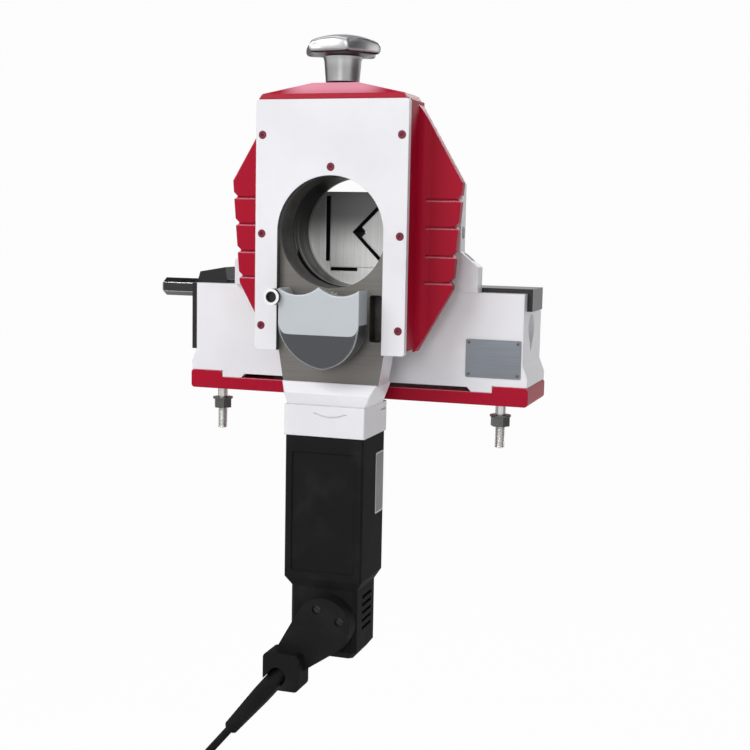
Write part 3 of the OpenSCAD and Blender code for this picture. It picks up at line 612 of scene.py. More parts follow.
@dataclass(frozen=True)
class Slide(Ground):
    """Slide steel: painted shade behind its front face, and white paint on the lower flanks.
    """

    painted_shade: Colour = (0.035, 0.033, 0.031)
    paint: Colour = (0.86, 0.855, 0.87)
    behind: Span = (-0.124, -0.119)
    flank: Span = (0.064, 0.066)

    def over(self, graph: Graph, colour: object) -> object:
        """Depth behind the face lays the painted shade, mottled by noise; sideways faces low
        down are painted white.
        """
        shade_mottle = graph.noise(SHADE_MOTTLES, 4.0).ramp(0.3, 0.75) * 0.5 + 0.5
        deep = graph.axis("y").ramp(*self.behind)
        colour = graph.blend(deep * shade_mottle, colour, self.painted_shade)
        side = graph.facing("x")
        low = 1.0 - graph.axis("z").ramp(*self.flank)
        return graph.blend((side * side).ramp(0.3, 0.5) * low, colour, self.paint)


@dataclass(frozen=True)
class Polished(Finish):
    """Polished metal with a trace of finger smears."""

    metallic: float = 1.0
    dot_depth: float = 0.0002

    def shade(self, graph: Graph) -> None:
        """Smears raise the roughness in broad soft patches."""
        smear = graph.noise(FINGER_SMEARS, 4.0)
        dots = graph.noise(POLISH_DOTS, 2.0)
        base = graph.blend(smear.ramp(0.35, 0.7), self.colour, tint(self.colour, 0.88))
        base = self.over(graph, base)
        graph.set(
            Base_Color=base,
            Metallic=self.metallic,
            Roughness=smear.ramp(0.35, 0.8) * 0.14 + self.roughness,
            Normal=graph.bump(dots, 0.05, self.dot_depth, graph.rounded(self.edge)),
        )

    def over(self, graph: Graph, colour: object) -> object:
        """What lies over the polish: nothing here."""
        return colour


@dataclass(frozen=True)
class KnobPolish(Polished):
    """Knob metal: a pale brushed neck under the head, and painted shade on the underside."""

    # Colour of the painted shade on faces that point down.
    under: Colour = (0.05, 0.05, 0.052)
    neck: Colour = (0.33, 0.33, 0.335)
    neck_top: float = 0.3785
    neck_fade: float = 0.014

    def over(self, graph: Graph, colour: object) -> object:
        """Height picks the neck; faces that point down get painted shade."""
        height = graph.axis("z")
        neck = 1.0 - height.ramp(self.neck_top - self.neck_fade, self.neck_top)
        colour = graph.blend(neck, colour, self.neck)
        low = (graph.facing("z") * -1.0).ramp(0.25, 0.7)
        return graph.blend(low, colour, self.under)


@dataclass(frozen=True)
class Moulded(Finish):
    """Moulded plastic or rubber: a leathery grain with dust in it."""

    grain: float = 900.0
    strength: float = 0.3
    dust: Colour = (0.11, 0.11, 0.115)
    dusty: float = 0.16
    specular: float = 0.2
    cell_depth: float = 0.00025

    def shade(self, graph: Graph) -> None:
        """Cell grain as bump, broad noise as dust, duller on the rounded edges."""
        soft = graph.rounded(self.edge)
        cells = graph.field(
            "ShaderNodeTexVoronoi", {}, {"Vector": graph.place, "Scale": self.grain}
        )
        cloud = graph.noise(DUST_CLOUDS, 5.0)
        rub = graph.edge(soft).ramp(0.02, 0.25) * 0.5
        colour = graph.blend(cloud.ramp(0.45, 0.8) * self.dusty, self.colour, self.dust)
        colour = graph.blend(rub * self.dusty, colour, self.dust)
        graph.set(
            Base_Color=colour,
            Roughness=cloud * 0.2 + (self.roughness - 0.1),
            Specular_IOR_Level=self.specular,
            Normal=graph.bump(cells, self.strength, self.cell_depth, soft),
        )


@dataclass(frozen=True)
class ShadedLacquer(Finish):
    """Lacquer in one grey, with painted shade, dark slate, below a level, and a painted
    highlight on its edges.
    """

    # Colour of the painted shade on the lower, downward slanting face.
    low: Colour = (0.044, 0.048, 0.054)
    level: float = 0.0805
    half_width: float = 0.0457
    corner: float = 0.012
    metallic: float = 0.1
    blur: float = 0.0004
    steep: float = 8.0
    rim: float = 0.8
    flake_depth: float = 0.0002
    coat: float = 0.3
    coat_roughness: float = 0.1

    def shade(self, graph: Graph) -> None:
        """A level that rises towards both sides splits the lacquer from the painted shade;
        fine flakes glint.
        """
        soft = graph.rounded(self.edge)
        across = graph.axis("x") * (1.0 / self.half_width)
        rise = (across * across) ** self.steep * self.corner
        height = graph.axis("z") - rise
        split = height.ramp(self.level - self.blur, self.level + self.blur)
        flake = graph.noise(LACQUER_FLAKES, 1.0)
        cloud = graph.noise(LACQUER_CLOUDS, 4.0)
        light = graph.blend(cloud, tint(self.colour, 0.94), tint(self.colour, 1.06))
        colour = graph.blend(split, self.low, light)
        # Painted highlight: rounded edges turn paler.
        rim = graph.edge(soft).ramp(0.01, 0.12)
        colour = graph.blend(rim * self.rim, colour, tint(self.colour, 1.6))
        graph.set(
            Base_Color=colour,
            Metallic=self.metallic,
            Roughness=flake * 0.1 + (self.roughness - 0.05),
            Coat_Weight=self.coat,
            Coat_Roughness=self.coat_roughness,
            Normal=graph.bump(flake, 0.06, self.flake_depth, soft),
        )


@dataclass(frozen=True)
class Turned(Finish):
    """Metal turned on a lathe: fine rings round an axis along Y through a point."""

    centre: Point = (0.0, 0.0, 0.0)
    pitch: float = 0.0006
    bands: float = 0.0
    band: Colour = (0.32, 0.307, 0.288)
    band_lit_below: Span = (-0.045, 0.03)
    ring_depth: float = 0.0001

    def shade(self, graph: Graph) -> None:
        """Rings by the distance from the axis, and broad paler bands along it that show only
        low down: rings on the bore, with painted light below and painted shade above.
        """
        far = graph.far(self.centre)
        rings = graph.field(
            "ShaderNodeTexNoise",
            {"noise_dimensions": "1D"},
            {"W": far * (1.0 / self.pitch), "Scale": 1.0, "Detail": 2.0},
        )
        smear = graph.noise(LATHE_SMEARS, 4.0)
        base = graph.blend(
            rings.ramp(0.3, 0.7), tint(self.colour, 0.82), tint(self.colour, 1.12)
        )
        band = graph.field(
            "ShaderNodeTexNoise",
            {"noise_dimensions": "1D"},
            {"W": graph.axis("y") * LATHE_BANDS, "Scale": 1.0, "Detail": 1.0},
        )
        under, over = (self.centre[2] + way for way in self.band_lit_below)
        # Painted light and shade: the paler bands fade out upwards across the axis.
        low = 1.0 - graph.axis("z").ramp(under, over)
        base = graph.blend(band.ramp(0.5, 0.62) * low * self.bands, base, self.band)
        graph.set(
            Base_Color=base,
            Metallic=1.0,
            Roughness=rings * 0.14 + smear * 0.12 + (self.roughness - 0.13),
            Normal=graph.bump(rings, 0.3, self.ring_depth, graph.rounded(self.edge)),
        )


@dataclass(frozen=True)
class RingedHead(Finish):
    """Blackened bolt head with a bright ring round an axis along Y."""

    centre: Point = (0.0, 0.0, 0.0)
    ring: Span = (0.0062, 0.0088)
    bright: Colour = (0.86, 0.86, 0.87)
    blur: float = 0.0004
    metallic: float = 0.6

    def shade(self, graph: Graph) -> None:
        """The distance from the axis picks the bright ring on the head's face."""
        soft = graph.rounded(self.edge)
        far = graph.far(self.centre)
        inner, outer = self.ring
        ring = far.ramp(inner - self.blur, inner)
        ring = ring * (1.0 - far.ramp(outer, outer + self.blur))
        front = (graph.facing("y") * -1.0).ramp(0.5, 0.9)
        scuff = graph.noise(HEAD_SCUFFS, 3.0)
        graph.set(
            Base_Color=graph.blend(ring * front, self.colour, self.bright),
            Metallic=self.metallic,
            Roughness=scuff * 0.2 + (self.roughness - 0.1),
            Normal=soft,
        )


@dataclass(frozen=True)
class Paper(Finish):
    """Studio paper: lit as paper is, and nearly white to rays that show it."""

    white: float = 0.965

    def shade(self, graph: Graph) -> None:
        """Mix the lit paper with an even white for the rays that show it."""
        super().shade(graph)
        glow = graph.node("ShaderNodeEmission", {}, {}).outputs[0]
        lit = graph.shader.outputs[0]
        share = graph.seen() * self.white
        mixed = graph.node("ShaderNodeMixShader", {}, {0: share, 1: lit, 2: glow})
        graph.feed(graph.tree.nodes["Material Output"].inputs[0], mixed.outputs[0])


WHITE_PAINT = Paint("white_paint", (0.80, 0.795, 0.825), 0.36, 0.0012, wear=0.15)
# The front plate gets painted shade on the walls of its opening.
FRONT_PAINT = Front("front_paint", (0.80, 0.795, 0.825), 0.36, 0.0012, wear=0.15)
# The red covers get a painted highlight on the roof's crest and on edges that face up.
RED_PAINT = Cover(
    "red_paint", (0.40, 0.005, 0.026), 0.4, 0.0018, 0.03, worn=(0.6, 0.1, 0.13), specular=0.1
)
SCREW_RED = Paint("dark_red_screws", (0.19, 0.006, 0.03), 0.3, 0.0004)
BLACK_STEEL = Paint(
    "black_covers", (0.009, 0.009, 0.01), 0.35, 0.0008, 0.04, worn=(0.2, 0.2, 0.2)
)
# The slide gets painted shade on faces behind its front face.
SLIDE_STEEL = Slide("slide_steel", (0.165, 0.157, 0.145), 0.42, 0.0006, Along.X, 0.5)
RAIL_STEEL = Ground("machined_steel", (0.40, 0.385, 0.355), 0.42, 0.0006, Along.X)
PLATED = Ground("plated_steel", (0.60, 0.60, 0.585), 0.3, 0.0004, Along.Z)
NUT_STEEL = Ground("nut_steel", (0.11, 0.11, 0.108), 0.36, 0.0004, Along.Z)
# The jaws get painted shade on their grips, grooves and top, and a painted highlight on their
# edges.
STAINLESS = Jaw(
    "stainless_jaws", (0.86, 0.86, 0.855), 0.38, 0.002, Along.Z, 0.4, stained=0.1, edge_highlight=0.9
)
# Same steel as the left jaw: a second copy with another tone and little painted shade at the
# top, for how light falls on the right jaw.
RIGHT_STAINLESS_LESS_SHADE = Jaw(
    "right_jaw_steel_less_shade",
    (0.74, 0.74, 0.735),
    0.38,
    0.002,
    Along.Z,
    0.4,
    stained=0.1,
    edge_highlight=0.9,
    gloom=0.2,
)
# The spindle's rounded edges get a painted highlight.
SPINDLE_STEEL = Ground(
    "oiled_spindle", (0.05, 0.05, 0.052), 0.24, 0.0014, Along.X, edge_highlight=0.9
)
OXIDE = Ground(
    "black_screws", (0.035, 0.035, 0.038), 0.4, 0.0004, Along.Y, metallic=0.8
)
BRONZE = Ground("bronze", (0.50, 0.33, 0.15), 0.32, 0.0004, Along.X)
PLATE_METAL = Ground("rating_plate_metal", (0.185, 0.20, 0.228), 0.36, 0.0004, Along.X)
# The knob gets painted shade on faces that point down.
KNOB_POLISH = KnobPolish("polished_knob", (0.49, 0.49, 0.50), 0.33)
BALL_STEEL = Polished("bearing_steel", (0.60, 0.60, 0.61), 0.14, 0.0003)
PLASTIC = Moulded(
    "black_plastic", (0.0125, 0.0125, 0.013), 0.62, 0.001, dusty=0.07, specular=0.03
)
RUBBER = Moulded(
    "cord_rubber", (0.007, 0.007, 0.0075), 0.5, 0.0006, 1400.0, 0.2, dusty=0.07, specular=0.06
)
LABEL = Moulded("bare_label", (0.22, 0.22, 0.225), 0.4, 0.0003, 700.0, 0.05)
LABEL_EDGE = Moulded("label_border", (0.6, 0.6, 0.6), 0.4, 0.0003, 700.0, 0.05)
CORE = Ground("motor_core", (0.25, 0.20, 0.16), 0.5, 0.0004, Along.Z, 0.7)
CARBON = Moulded("carbon", (0.03, 0.03, 0.03), 0.6, 0.0003)
SWITCH_RED = Moulded("switch_red", (0.42, 0.012, 0.012), 0.3, 0.0006, 900.0, 0.08)
# The guard gets painted shade on its lower face and a painted highlight on its edges.
GUARD_SHADED_LACQUER = ShadedLacquer("guard_grey", (0.49, 0.52, 0.55), 0.34, 0.0032)
BLADE_STEEL = Turned(
    "blade_steel", (0.55, 0.55, 0.55), 0.3, 0.0003, (0.0, 0.0, (AXIS_H - 95) * MM)
)
# The hub's paler bands give painted light low in the bore and painted shade above.
HUB_STEEL = Turned(
    "hub_steel", (0.028, 0.027, 0.026), 0.38, 0.0006, (0.0, 0.0, AXIS_H * MM), bands=1.0
)
PIVOT_HEAD = RingedHead(
    "pivot_head", (0.02, 0.02, 0.021), 0.32, 0.0005, (-52 * MM, 0.0, (AXIS_H - 70) * MM)
)
RACE_STEEL = Turned("race_steel", (0.45, 0.44, 0.42), 0.3, 0.0005, (0.0, 0.0, AXIS_H * MM))

DRESS: dict[Finish, tuple[str, ...]] = {
    WHITE_PAINT: (
        "base_casting",
        "bearing_upright",
        "gearbox_housing",
        "motor_collar",
    ),
    FRONT_PAINT: ("front_plate",),
    RED_PAINT: ("mounting_plate", "left_side_cover", "right_side_cover", "top_cover"),
    SCREW_RED: ("plate_screws",),
    BLACK_STEEL: ("left_end_plate", "left_spindle_cover", "right_spindle_cover"),
    SLIDE_STEEL: ("slide_frame",),
    RAIL_STEEL: ("guide_rails", "top_bridge", "gear_case_cover"),
    HUB_STEEL: ("rotor_hub",),
    RACE_STEEL: ("inner_bearing_ring", "outer_bearing_ring", "retaining_ring"),
    STAINLESS: ("left_carriage", "left_jaw"),
    RIGHT_STAINLESS_LESS_SHADE: ("right_carriage", "right_jaw"),
    PLATED: ("feed_spindle", "blade_shaft", "drive_pinion"),
    NUT_STEEL: ("bench_nuts",),
    OXIDE: ("upright_screws", "left_jaw_screws", "right_jaw_screws", "elbow_screws"),
    PIVOT_HEAD: ("guard_pivot_bolt",),
    BRONZE: (
        "spindle_bushes",
        "left_spindle_nut",
        "right_spindle_nut",
        "feed_nut",
        "drive_gear",
    ),
    BALL_STEEL: ("bearing_balls", "blade_shaft_bearings", "armature_bearings"),
    PLASTIC: ("motor_housing", "motor_end_cap", "cable_elbow"),
    RUBBER: ("plug",),
    PLATE_METAL: ("rating_plate",),
    CORE: ("stator", "armature"),
    CARBON: ("carbon_brushes",),
    SWITCH_RED: ("power_switch",),
    GUARD_SHADED_LACQUER: ("blade_guard",),
    BLADE_STEEL: ("saw_blade",),
}


class Surface:
    """Collects grids of points and makes one mesh piece of them."""

    def __init__(self, name: str) -> None:
        """Start an empty piece of that name."""
        self.name = name
        self._points: list[np.ndarray] = []
        self._faces: list[list[int]] = []
        self._count = 0

    def grid(self, points: np.ndarray, wrap: bool = True, ring: bool = False) -> None:
        """Add a grid of quads.

        Args:
            points: Array of rows, columns and 3 coordinates, in metres. Rows run along
                the shape, and columns run round it, so that faces point outwards when
                columns turn right-handed about the direction of the rows.
            wrap: Whether the last column joins the first. The first and last rows are
                then closed by a face.
            ring: Whether the last row joins the first instead.
        """
        rows, columns = points.shape[:2]
        index = np.arange(rows * columns).reshape(rows, columns) + self._count
        following = np.roll(index, -1, axis=1)
        if not wrap:
            index, following = index[:, :-1], following[:, :-1]
        quads = np.stack(
            [index, following, np.roll(following, -1, axis=0), np.roll(index, -1, axis=0)],
            axis=-1,
        )
        if not ring:
            quads = quads[:-1]
        self._faces += quads.reshape(-1, 4).tolist()
        if wrap and not ring:
            self._faces += [index[0, ::-1].tolist(), index[-1].tolist()]
        self._points.append(points.reshape(-1, 3))
        self._count += rows * columns

    def piece(self, finish: Finish, smooth: float = 35.0) -> bpy.types.Object:
        """Make the mesh object.

        Args:
            finish: What covers it.
            smooth: Angle in degrees above which an edge stays sharp.

        Returns:
            The object, at the origin.
        """
        mesh = bpy.data.meshes.new(self.name)
        mesh.from_pydata(np.concatenate(self._points).tolist(), [], self._faces)
        mesh.polygons.foreach_set("use_smooth", np.ones(len(mesh.polygons), bool))
        mesh.set_sharp_from_angle(angle=math.radians(smooth))
        mesh.materials.append(finish.material())
        mesh.update()
        made = bpy.data.objects.new(self.name, mesh)
        bpy.context.scene.collection.objects.link(made)
        LOG.info("%s: %d faces", self.name, len(mesh.polygons))
        return made


def turn(count: int, start: float = 0.0) -> np.ndarray:
    """Angles of a full turn without its end."""
    return start + np.arange(count) * TAU / count


def revolve(radius: np.ndarray, height: np.ndarray, count: int) -> np.ndarray:
    """Carry a profile round the Z axis.

    Args:
        radius: Radii of the profile's points.
        height: Heights of the profile's points, rising for faces that point outwards.
        count: Columns round the axis.

    Returns:
        Grid of points: radius times the cosine and sine of the angle, and the height.
    """
    angle = turn(count)
    ring = np.stack([np.cos(angle), np.sin(angle)], axis=-1)
    flat = radius[:, None, None] * ring[None]
    level = np.broadcast_to(height[:, None, None], (*flat.shape[:2], 1))
    return np.concatenate([flat, level], axis=-1)


def oblong(wide: float, tall: float, corner: float, count: int, steep: float) -> np.ndarray:
    """Outline of a rectangle with round corners.

    A cosine and a sine, made steeper and clipped to plus and minus 1, carry the corner's
    circle from one corner's middle to the next.

    Args:
        wide: Half the width.
        tall: Half the height.
        corner: Radius of the corners.
        count: Points of the outline.
        steep: How much steeper the clipped waves are.

    Returns:
        Array of points, across and up.
    """
    angle = turn(count)
    wave = np.stack([np.cos(angle), np.sin(angle)], axis=-1)
    middle = np.array([wide - corner, tall - corner])
    return np.clip(wave * steep, -1, 1) * middle + corner * wave


def tube(path: np.ndarray, radius: float, sides: int) -> np.ndarray:
    """Carry a circle along a path that never runs along Y.

    Args:
        path: Points of the path.
        radius: Radius of the circle.
        sides: Columns round the path.

    Returns:
        Grid of points: each circle lies in the plane across the path's direction.
    """
    ahead = np.gradient(path, axis=0)
    ahead /= np.linalg.norm(ahead, axis=1, keepdims=True)
    side = np.array([0.0, 1.0, 0.0]) - ahead * ahead[:, 1:2]
    side /= np.linalg.norm(side, axis=1, keepdims=True)
    other = np.cross(ahead, side)
    angle = turn(sides)
    across = side[:, None] * np.cos(angle)[None, :, None]
    across = across + other[:, None] * np.sin(angle)[None, :, None]
    return path[:, None] + radius * across


def aim(points: np.ndarray, axis: np.ndarray, at: np.ndarray) -> np.ndarray:
    """Turn points that stand on the Z axis to another axis and move them there.

    Args:
        points: Points about the Z axis.
        axis: Direction that Z turns to.
        at: Where the zero goes.

    Returns:
        The placed points.
    """
    turnto = np.array(Vector((0, 0, 1)).rotation_difference(Vector(axis)).to_matrix())
    return points @ turnto.T + at


def thread(
    radius: float, depth: float, pitch: float, length: float, hand: int, columns: int
) -> np.ndarray:
    """Screw thread about the Z axis, from height 0 up.

    The radius falls and rises once per pitch along the height, shifted by one pitch per
    turn: a clipped triangle wave of height over pitch less angle over a full turn.

    Args:
        radius: Radius over the crests.
        depth: Depth of the groove.
        pitch: Height of one turn.
        length: Length of the thread.
        hand: 1 for a right-hand thread and -1 for a left-hand one.
        columns: Columns round the axis.

    Returns:
        Grid of points.
    """
    height = np.linspace(0, length, int(length / pitch * 8) + 1)
    angle = turn(columns)
    phase = height[:, None] / pitch - hand * angle[None] / TAU
    wave = np.abs((phase % 1.0) * 2 - 1)
    wave = np.clip((wave - 0.2) / 0.6, 0, 1)
    fade = np.clip(np.minimum(height, length - height) / pitch, 0, 1)[:, None]
    far = radius - depth * wave * fade
    level = np.broadcast_to(height[:, None], far.shape)
    return np.stack([far * np.cos(angle), far * np.sin(angle), level], axis=-1)


@dataclass
class MainsCord:
    """The motor's cord: out of the boot, into a tied coil, and down to the plug."""

    diameter: float = 9.0
    exit_at: float = 40.0
    boot_at: Point = (-37.0, -23.0, -486.0)
    way: Point = (-0.645, 0.0, -0.764)
    boot_length: float = 45.0
    sleeve: float = 102.0
    lead: float = 150.0
    step: float = 9.8
    inner: float = 37.0
    turns: float = 5.0
    entry: float = 139.8
    tail: float = 150.0
    root: float = 8.0
    root_r: float = 8.95
    collar: Span = (7.0, 44.0)
    collar_r: float = 10.48
    tip_r: float = 8.3
    tip_round: float = 1.0
    flex_from: float = 50.0
    flex_pitch: float = 6.0
    flex_depth: float = 0.5
    hollow_from: float = 10.0
    strap_at: Span = (250.0, 55.0)
    strap_width: float = 14.0
    strap_thick: float = 1.3
    strap_corner: float = 3.0
    strap_slack: float = 0.7

    @property
    def outer(self) -> float:
        """Radius of the coil's outermost turn."""
        return self.inner + self.step * self.turns

    @property
    def centre(self) -> np.ndarray:
        """Middle of the coil's first layer, from the saw head's zero."""
        run = np.array(self.boot_at) + np.array(self.way) * (
            self.boot_length + self.lead + self.diameter
        )
        entry = math.radians(self.entry)
        return run - self.outer * np.array([math.cos(entry), 0.0, math.sin(entry)])

    def route(self) -> np.ndarray:
        """Work out the cord's centre line.

        The lead is straight. The coil's radius falls by one step per turn on the first
        layer and rises again on the second, and half a turn climbs between them. The
        tail hangs straight down.

        Returns:
            Points of the centre line, in metres, in the frame.
        """
        start = np.array(self.boot_at)
        way = np.array(self.way)
        along = np.linspace(self.exit_at, self.boot_length + self.lead, 12)
        lead = start + along[:, None] * way
        back = self.turns - 0.5 + (180 - self.entry) / 360
        total = self.turns + 0.5 + back
        at = np.linspace(0, total, int(total * 48) + 1)
        middle = self.turns + 0.25
        radius = self.outer - self.step * np.where(at < middle, at, 2 * middle - at)
        rise = self.step * np.clip((at - self.turns) / 0.5, 0, 1)
        angle = math.radians(self.entry) + at * TAU
        ring = np.stack([radius * np.cos(angle), rise, radius * np.sin(angle)], axis=-1)
        coil = self.centre + ring
        down = np.linspace(self.diameter, self.diameter + self.tail, 12)
        tail = coil[-1] - down[:, None] * np.array([0.0, 0.0, 1.0])
        return head(np.concatenate([lead, coil, tail]))

    def ties(self) -> bpy.types.Object:
        """Make two flat straps round the bundle of turns.

        Each strap is a rounded oblong carried round the bundle's section, where the
        section's radius and depth take the place of x and y.

        Returns:
            The piece with both straps.
        """
        made = Surface("cord_ties")
        room = self.diameter / 2 + self.strap_slack
        half = (self.outer - self.inner) / 2 + room
        deep = self.step / 2 + room
        middle = np.array([(self.outer + self.inner) / 2, self.step / 2])
        thick, width = self.strap_thick, self.strap_width / 2
        for where in self.strap_at:
            spot = math.radians(where)
            out = np.array([math.cos(spot), 0.0, math.sin(spot)])
            section = np.stack([out, np.array([0.0, 1.0, 0.0])])
            across = np.array([-math.sin(spot), 0.0, math.cos(spot)])
            rows = []
            for swell, shift in ((0.0, -width), (thick, -width), (thick, width), (0.0, width)):
                corner = self.strap_corner + swell
                line = middle + oblong(half + swell, deep + swell, corner, 40, 2.2)
                rows.append(self.centre + line @ section + shift * across)
            made.grid(head(np.stack(rows)), ring=True)
        return made.piece(RUBBER)

    def boot(self) -> bpy.types.Object:
        """Make the strain relief: a long tapered sleeve with shallow flex rings.

        Its radius runs straight from bend to bend, less a clipped sine wave that cuts the
        flex rings. The last rows turn back inside it, round the cord.

        Returns:
            The piece.
        """
        made = Surface("cord_sleeve")
        end = self.sleeve
        along = np.linspace(-self.root, end, 240)
        wide_from, wide_to = self.collar
        taper = np.interp(
            along,
            [-self.root, wide_from - 2.0, wide_from, wide_to, end - 1.5, end],
            [self.root_r, self.root_r]
            + [self.collar_r, self.collar_r, self.tip_r, self.tip_r - self.tip_round],
        )
        notch = np.clip(np.sin(along / self.flex_pitch * TAU) * 2 - 1.0, 0, 1)
        notch = notch * (along > self.flex_from) * (along < end - 4)
        outside = revolve(taper - self.flex_depth * notch, along, 40)
        hollow = np.full(2, self.diameter / 2 + 0.1)
        inside = revolve(hollow, np.array([end, self.hollow_from]), 40)
        whole = np.concatenate([outside, inside])
        made.grid(head(aim(whole, np.array(self.way), np.array(self.boot_at))))
        return made.piece(RUBBER)

    def build(self, frame: dict) -> None:
        """Args:
            frame: What the frame's load gave. Not used.
        """
        path = self.route()
        made = Surface("mains_cord")
        made.grid(tube(path, self.diameter / 2 * MM, 16))
        cord = made.piece(RUBBER)
        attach(cord, Body.SLIDE.value)
        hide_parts("cord_lead", "cord_coil", "cord_tail")
        boot = self.boot()
        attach(boot, Body.SLIDE.value)
        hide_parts("cord_boot")
        ties = self.ties()
        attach(ties, Body.SLIDE.value)


@dataclass
class StarKnob:
    """The polished hand knob: a tapered neck under a domed head with wide hollows."""

    radius: float = 44.5
    hollows: int = 6
    hollow_r: float = 55.2
    hollow_at: float = 90.0
    soft: float = 1.6
    base: float = 161.0
    neck: tuple[Span, ...] = (
        (16.9, 0.0),
        (18.4, 1.5),
        (20.3, 24.0),
        (21.7, 28.0),
        (25.3, 29.6),
    )
    head_low: float = 191.0
    under_edge: tuple[Span, ...] = ((6.0, 0.0), (3.0, 0.5), (1.2, 1.7), (0.3, 3.4), (0.0, 5.2))
    upper_edge: tuple[Span, ...] = ((0.2, 3.4), (0.9, 1.7), (1.8, 0.7), (3.0, 0.15))
    rim: float = 11.0
    dome: float = 11.0
    turned: float = -5.0
    depth_at: float = 34.0
    columns: int = 192

    def outline(self, angle: np.ndarray) -> np.ndarray:
        """Distance of the star's edge from the axis.

        It is the head's radius, or the near side of the hollow's circle along the same
        ray where that is closer, with the two joined by a soft minimum.

        Args:
            angle: Angles round the axis.

        Returns:
            The distances.
        """
        sector = TAU / self.hollows
        off = (angle % sector) - sector / 2
        under = self.hollow_r**2 - (self.hollow_at * np.sin(off)) ** 2
        near = self.hollow_at * np.cos(off) - np.sqrt(np.clip(under, 0, None))
        near = np.where(under > 0, near, 2 * self.radius)
        gap = np.clip(0.5 + (self.radius - near) / (2 * self.soft), 0, 1)
        return self.radius + (near - self.radius) * gap - self.soft * gap * (1 - gap)

    def build(self) -> None:
        """Make the knob as one surface of rows up the profile and columns round it.

        The neck's rows are circles. The head's rows are the star's outline less an inset
        that rounds both of its edges. The dome's rows shrink the outline to the axis and
        lie on a sphere through the rim.
        """
        angle = turn(self.columns)
        star = self.outline(angle - math.radians(self.turned))
        low = self.head_low
        sphere = (self.radius**2 + self.dome**2) / (2 * self.dome)
        peak = low + self.rim + self.dome

        def crown(far: np.ndarray) -> np.ndarray:
            """Height of the dome at a distance from the axis."""
            return peak - sphere + np.sqrt(sphere**2 - far**2)

        rows = []
        for far, up in self.neck:
            rows.append((np.full_like(star, far), np.full_like(star, self.base + up)))
        for inset, up in self.under_edge:
            rows.append((star - inset, np.full_like(star, low + up)))
        for inset, down in self.upper_edge:
            rows.append((star - inset, crown(star - inset) - down))
        top = star - self.upper_edge[-1][0]
        for share in np.linspace(0.9, 0.02, 12):
            rows.append((top * share, crown(top * share)))
        far = np.stack([row[0] for row in rows])
        level = np.stack([row[1] for row in rows])
        grid = np.stack(
            [far * np.cos(angle), self.depth_at + far * np.sin(angle), level], axis=-1
        )
        made = Surface("star_knob")
        made.grid(head(grid))
        knob = made.piece(KNOB_POLISH)
        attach(knob, Body.KNOB.value)
        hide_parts("hand_knob")


@dataclass
class Fixings:
    """Screw threads: the two mounting studs and the clamping spindle."""

    stud_x: float = 172.0
    stud_y: float = -32.0
    shank: float = 5.95
    shank_end: float = 5.0
    stud_thread: float = 5.6
    stud_depth: float = 0.8
    stud_pitch: float = 1.75
    tip: Span = (3.6, 4.9)
    shank_low: float = 12.0
    stud_end: float = 50.0
    stud_top: float = 16.0
    spindle_y: float = -6.0
    spindle_z: float = 118.0
    spindle_r: float = 10.0
    screw_depth: float = 1.1
    left_pitch: float = 4.0
    right_pitch: float = 3.0
    wall: float = 172.0
    collar_r: float = 9.0
    collar_end: float = 210.0
    journal_r: float = 6.5
    journal_end: float = 197.0
    hex_flats: float = 19.0
    hex_end: float = 263.0

    def studs(self) -> None:
        """Make both studs: a plain shank, and a rolled thread below it."""
        made = Surface("threaded_studs")
        end, top = self.stud_end, self.stud_top
        length = end - self.shank_low - 1
        screw = thread(self.stud_thread, self.stud_depth, self.stud_pitch, length, 1, 24)
        screw = screw - np.array([0.0, 0.0, end - 1])
        tip = revolve(np.array(self.tip), np.array([-end, 1 - end]), 24)
        shank = revolve(
            np.array([self.shank_end, self.shank, self.shank, self.shank_end]),
            np.array([-self.shank_low, 0.6 - self.shank_low, top - 1, top]),
            24,
        )
        whole = np.concatenate([tip, screw, shank])
        for side in (-1, 1):
            made.grid((whole + np.array([side * self.stud_x, self.stud_y, 0])) * MM)
        piece = made.piece(PLATED)
        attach(piece, Body.BASE.value)
        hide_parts("bench_studs")

    def spindle(self) -> None:
        """Make the clamping spindle: opposite threads, journals and a six-sided end."""
        made = Surface("threaded_spindle")
        reach = self.wall - 0.5
        left = thread(self.spindle_r, self.screw_depth, self.left_pitch, reach, -1, 32)
        right = thread(self.spindle_r, self.screw_depth, self.right_pitch, reach, 1, 32)
        left = left - np.array([0.0, 0.0, reach])
        collar = revolve(np.full(2, self.collar_r), np.array([-self.collar_end, -reach]), 32)
        slim, last = self.journal_r, self.journal_end
        journal = revolve(
            np.array([slim, slim, slim - 0.5]), np.array([reach, last - 0.6, last]), 32
        )
        body = np.concatenate([collar, left, right[1:], journal])
        corner = self.hex_flats / math.sqrt(3)
        drive = revolve(
            corner * np.array([0.82, 0.99, 1.0, 1.0]),
            np.array([0.0, 1.6, 2.1, self.hex_end - self.collar_end]) - self.hex_end,
            6,
        )
        for grid in (body, drive):
            at = np.array([0.0, self.spindle_y, self.spindle_z])
            made.grid(aim(grid, np.array([1.0, 0.0, 0.0]), at) * MM)
        piece = made.piece(SPINDLE_STEEL)
        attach(piece, Body.SPINDLE.value)
        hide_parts("clamp_spindle")


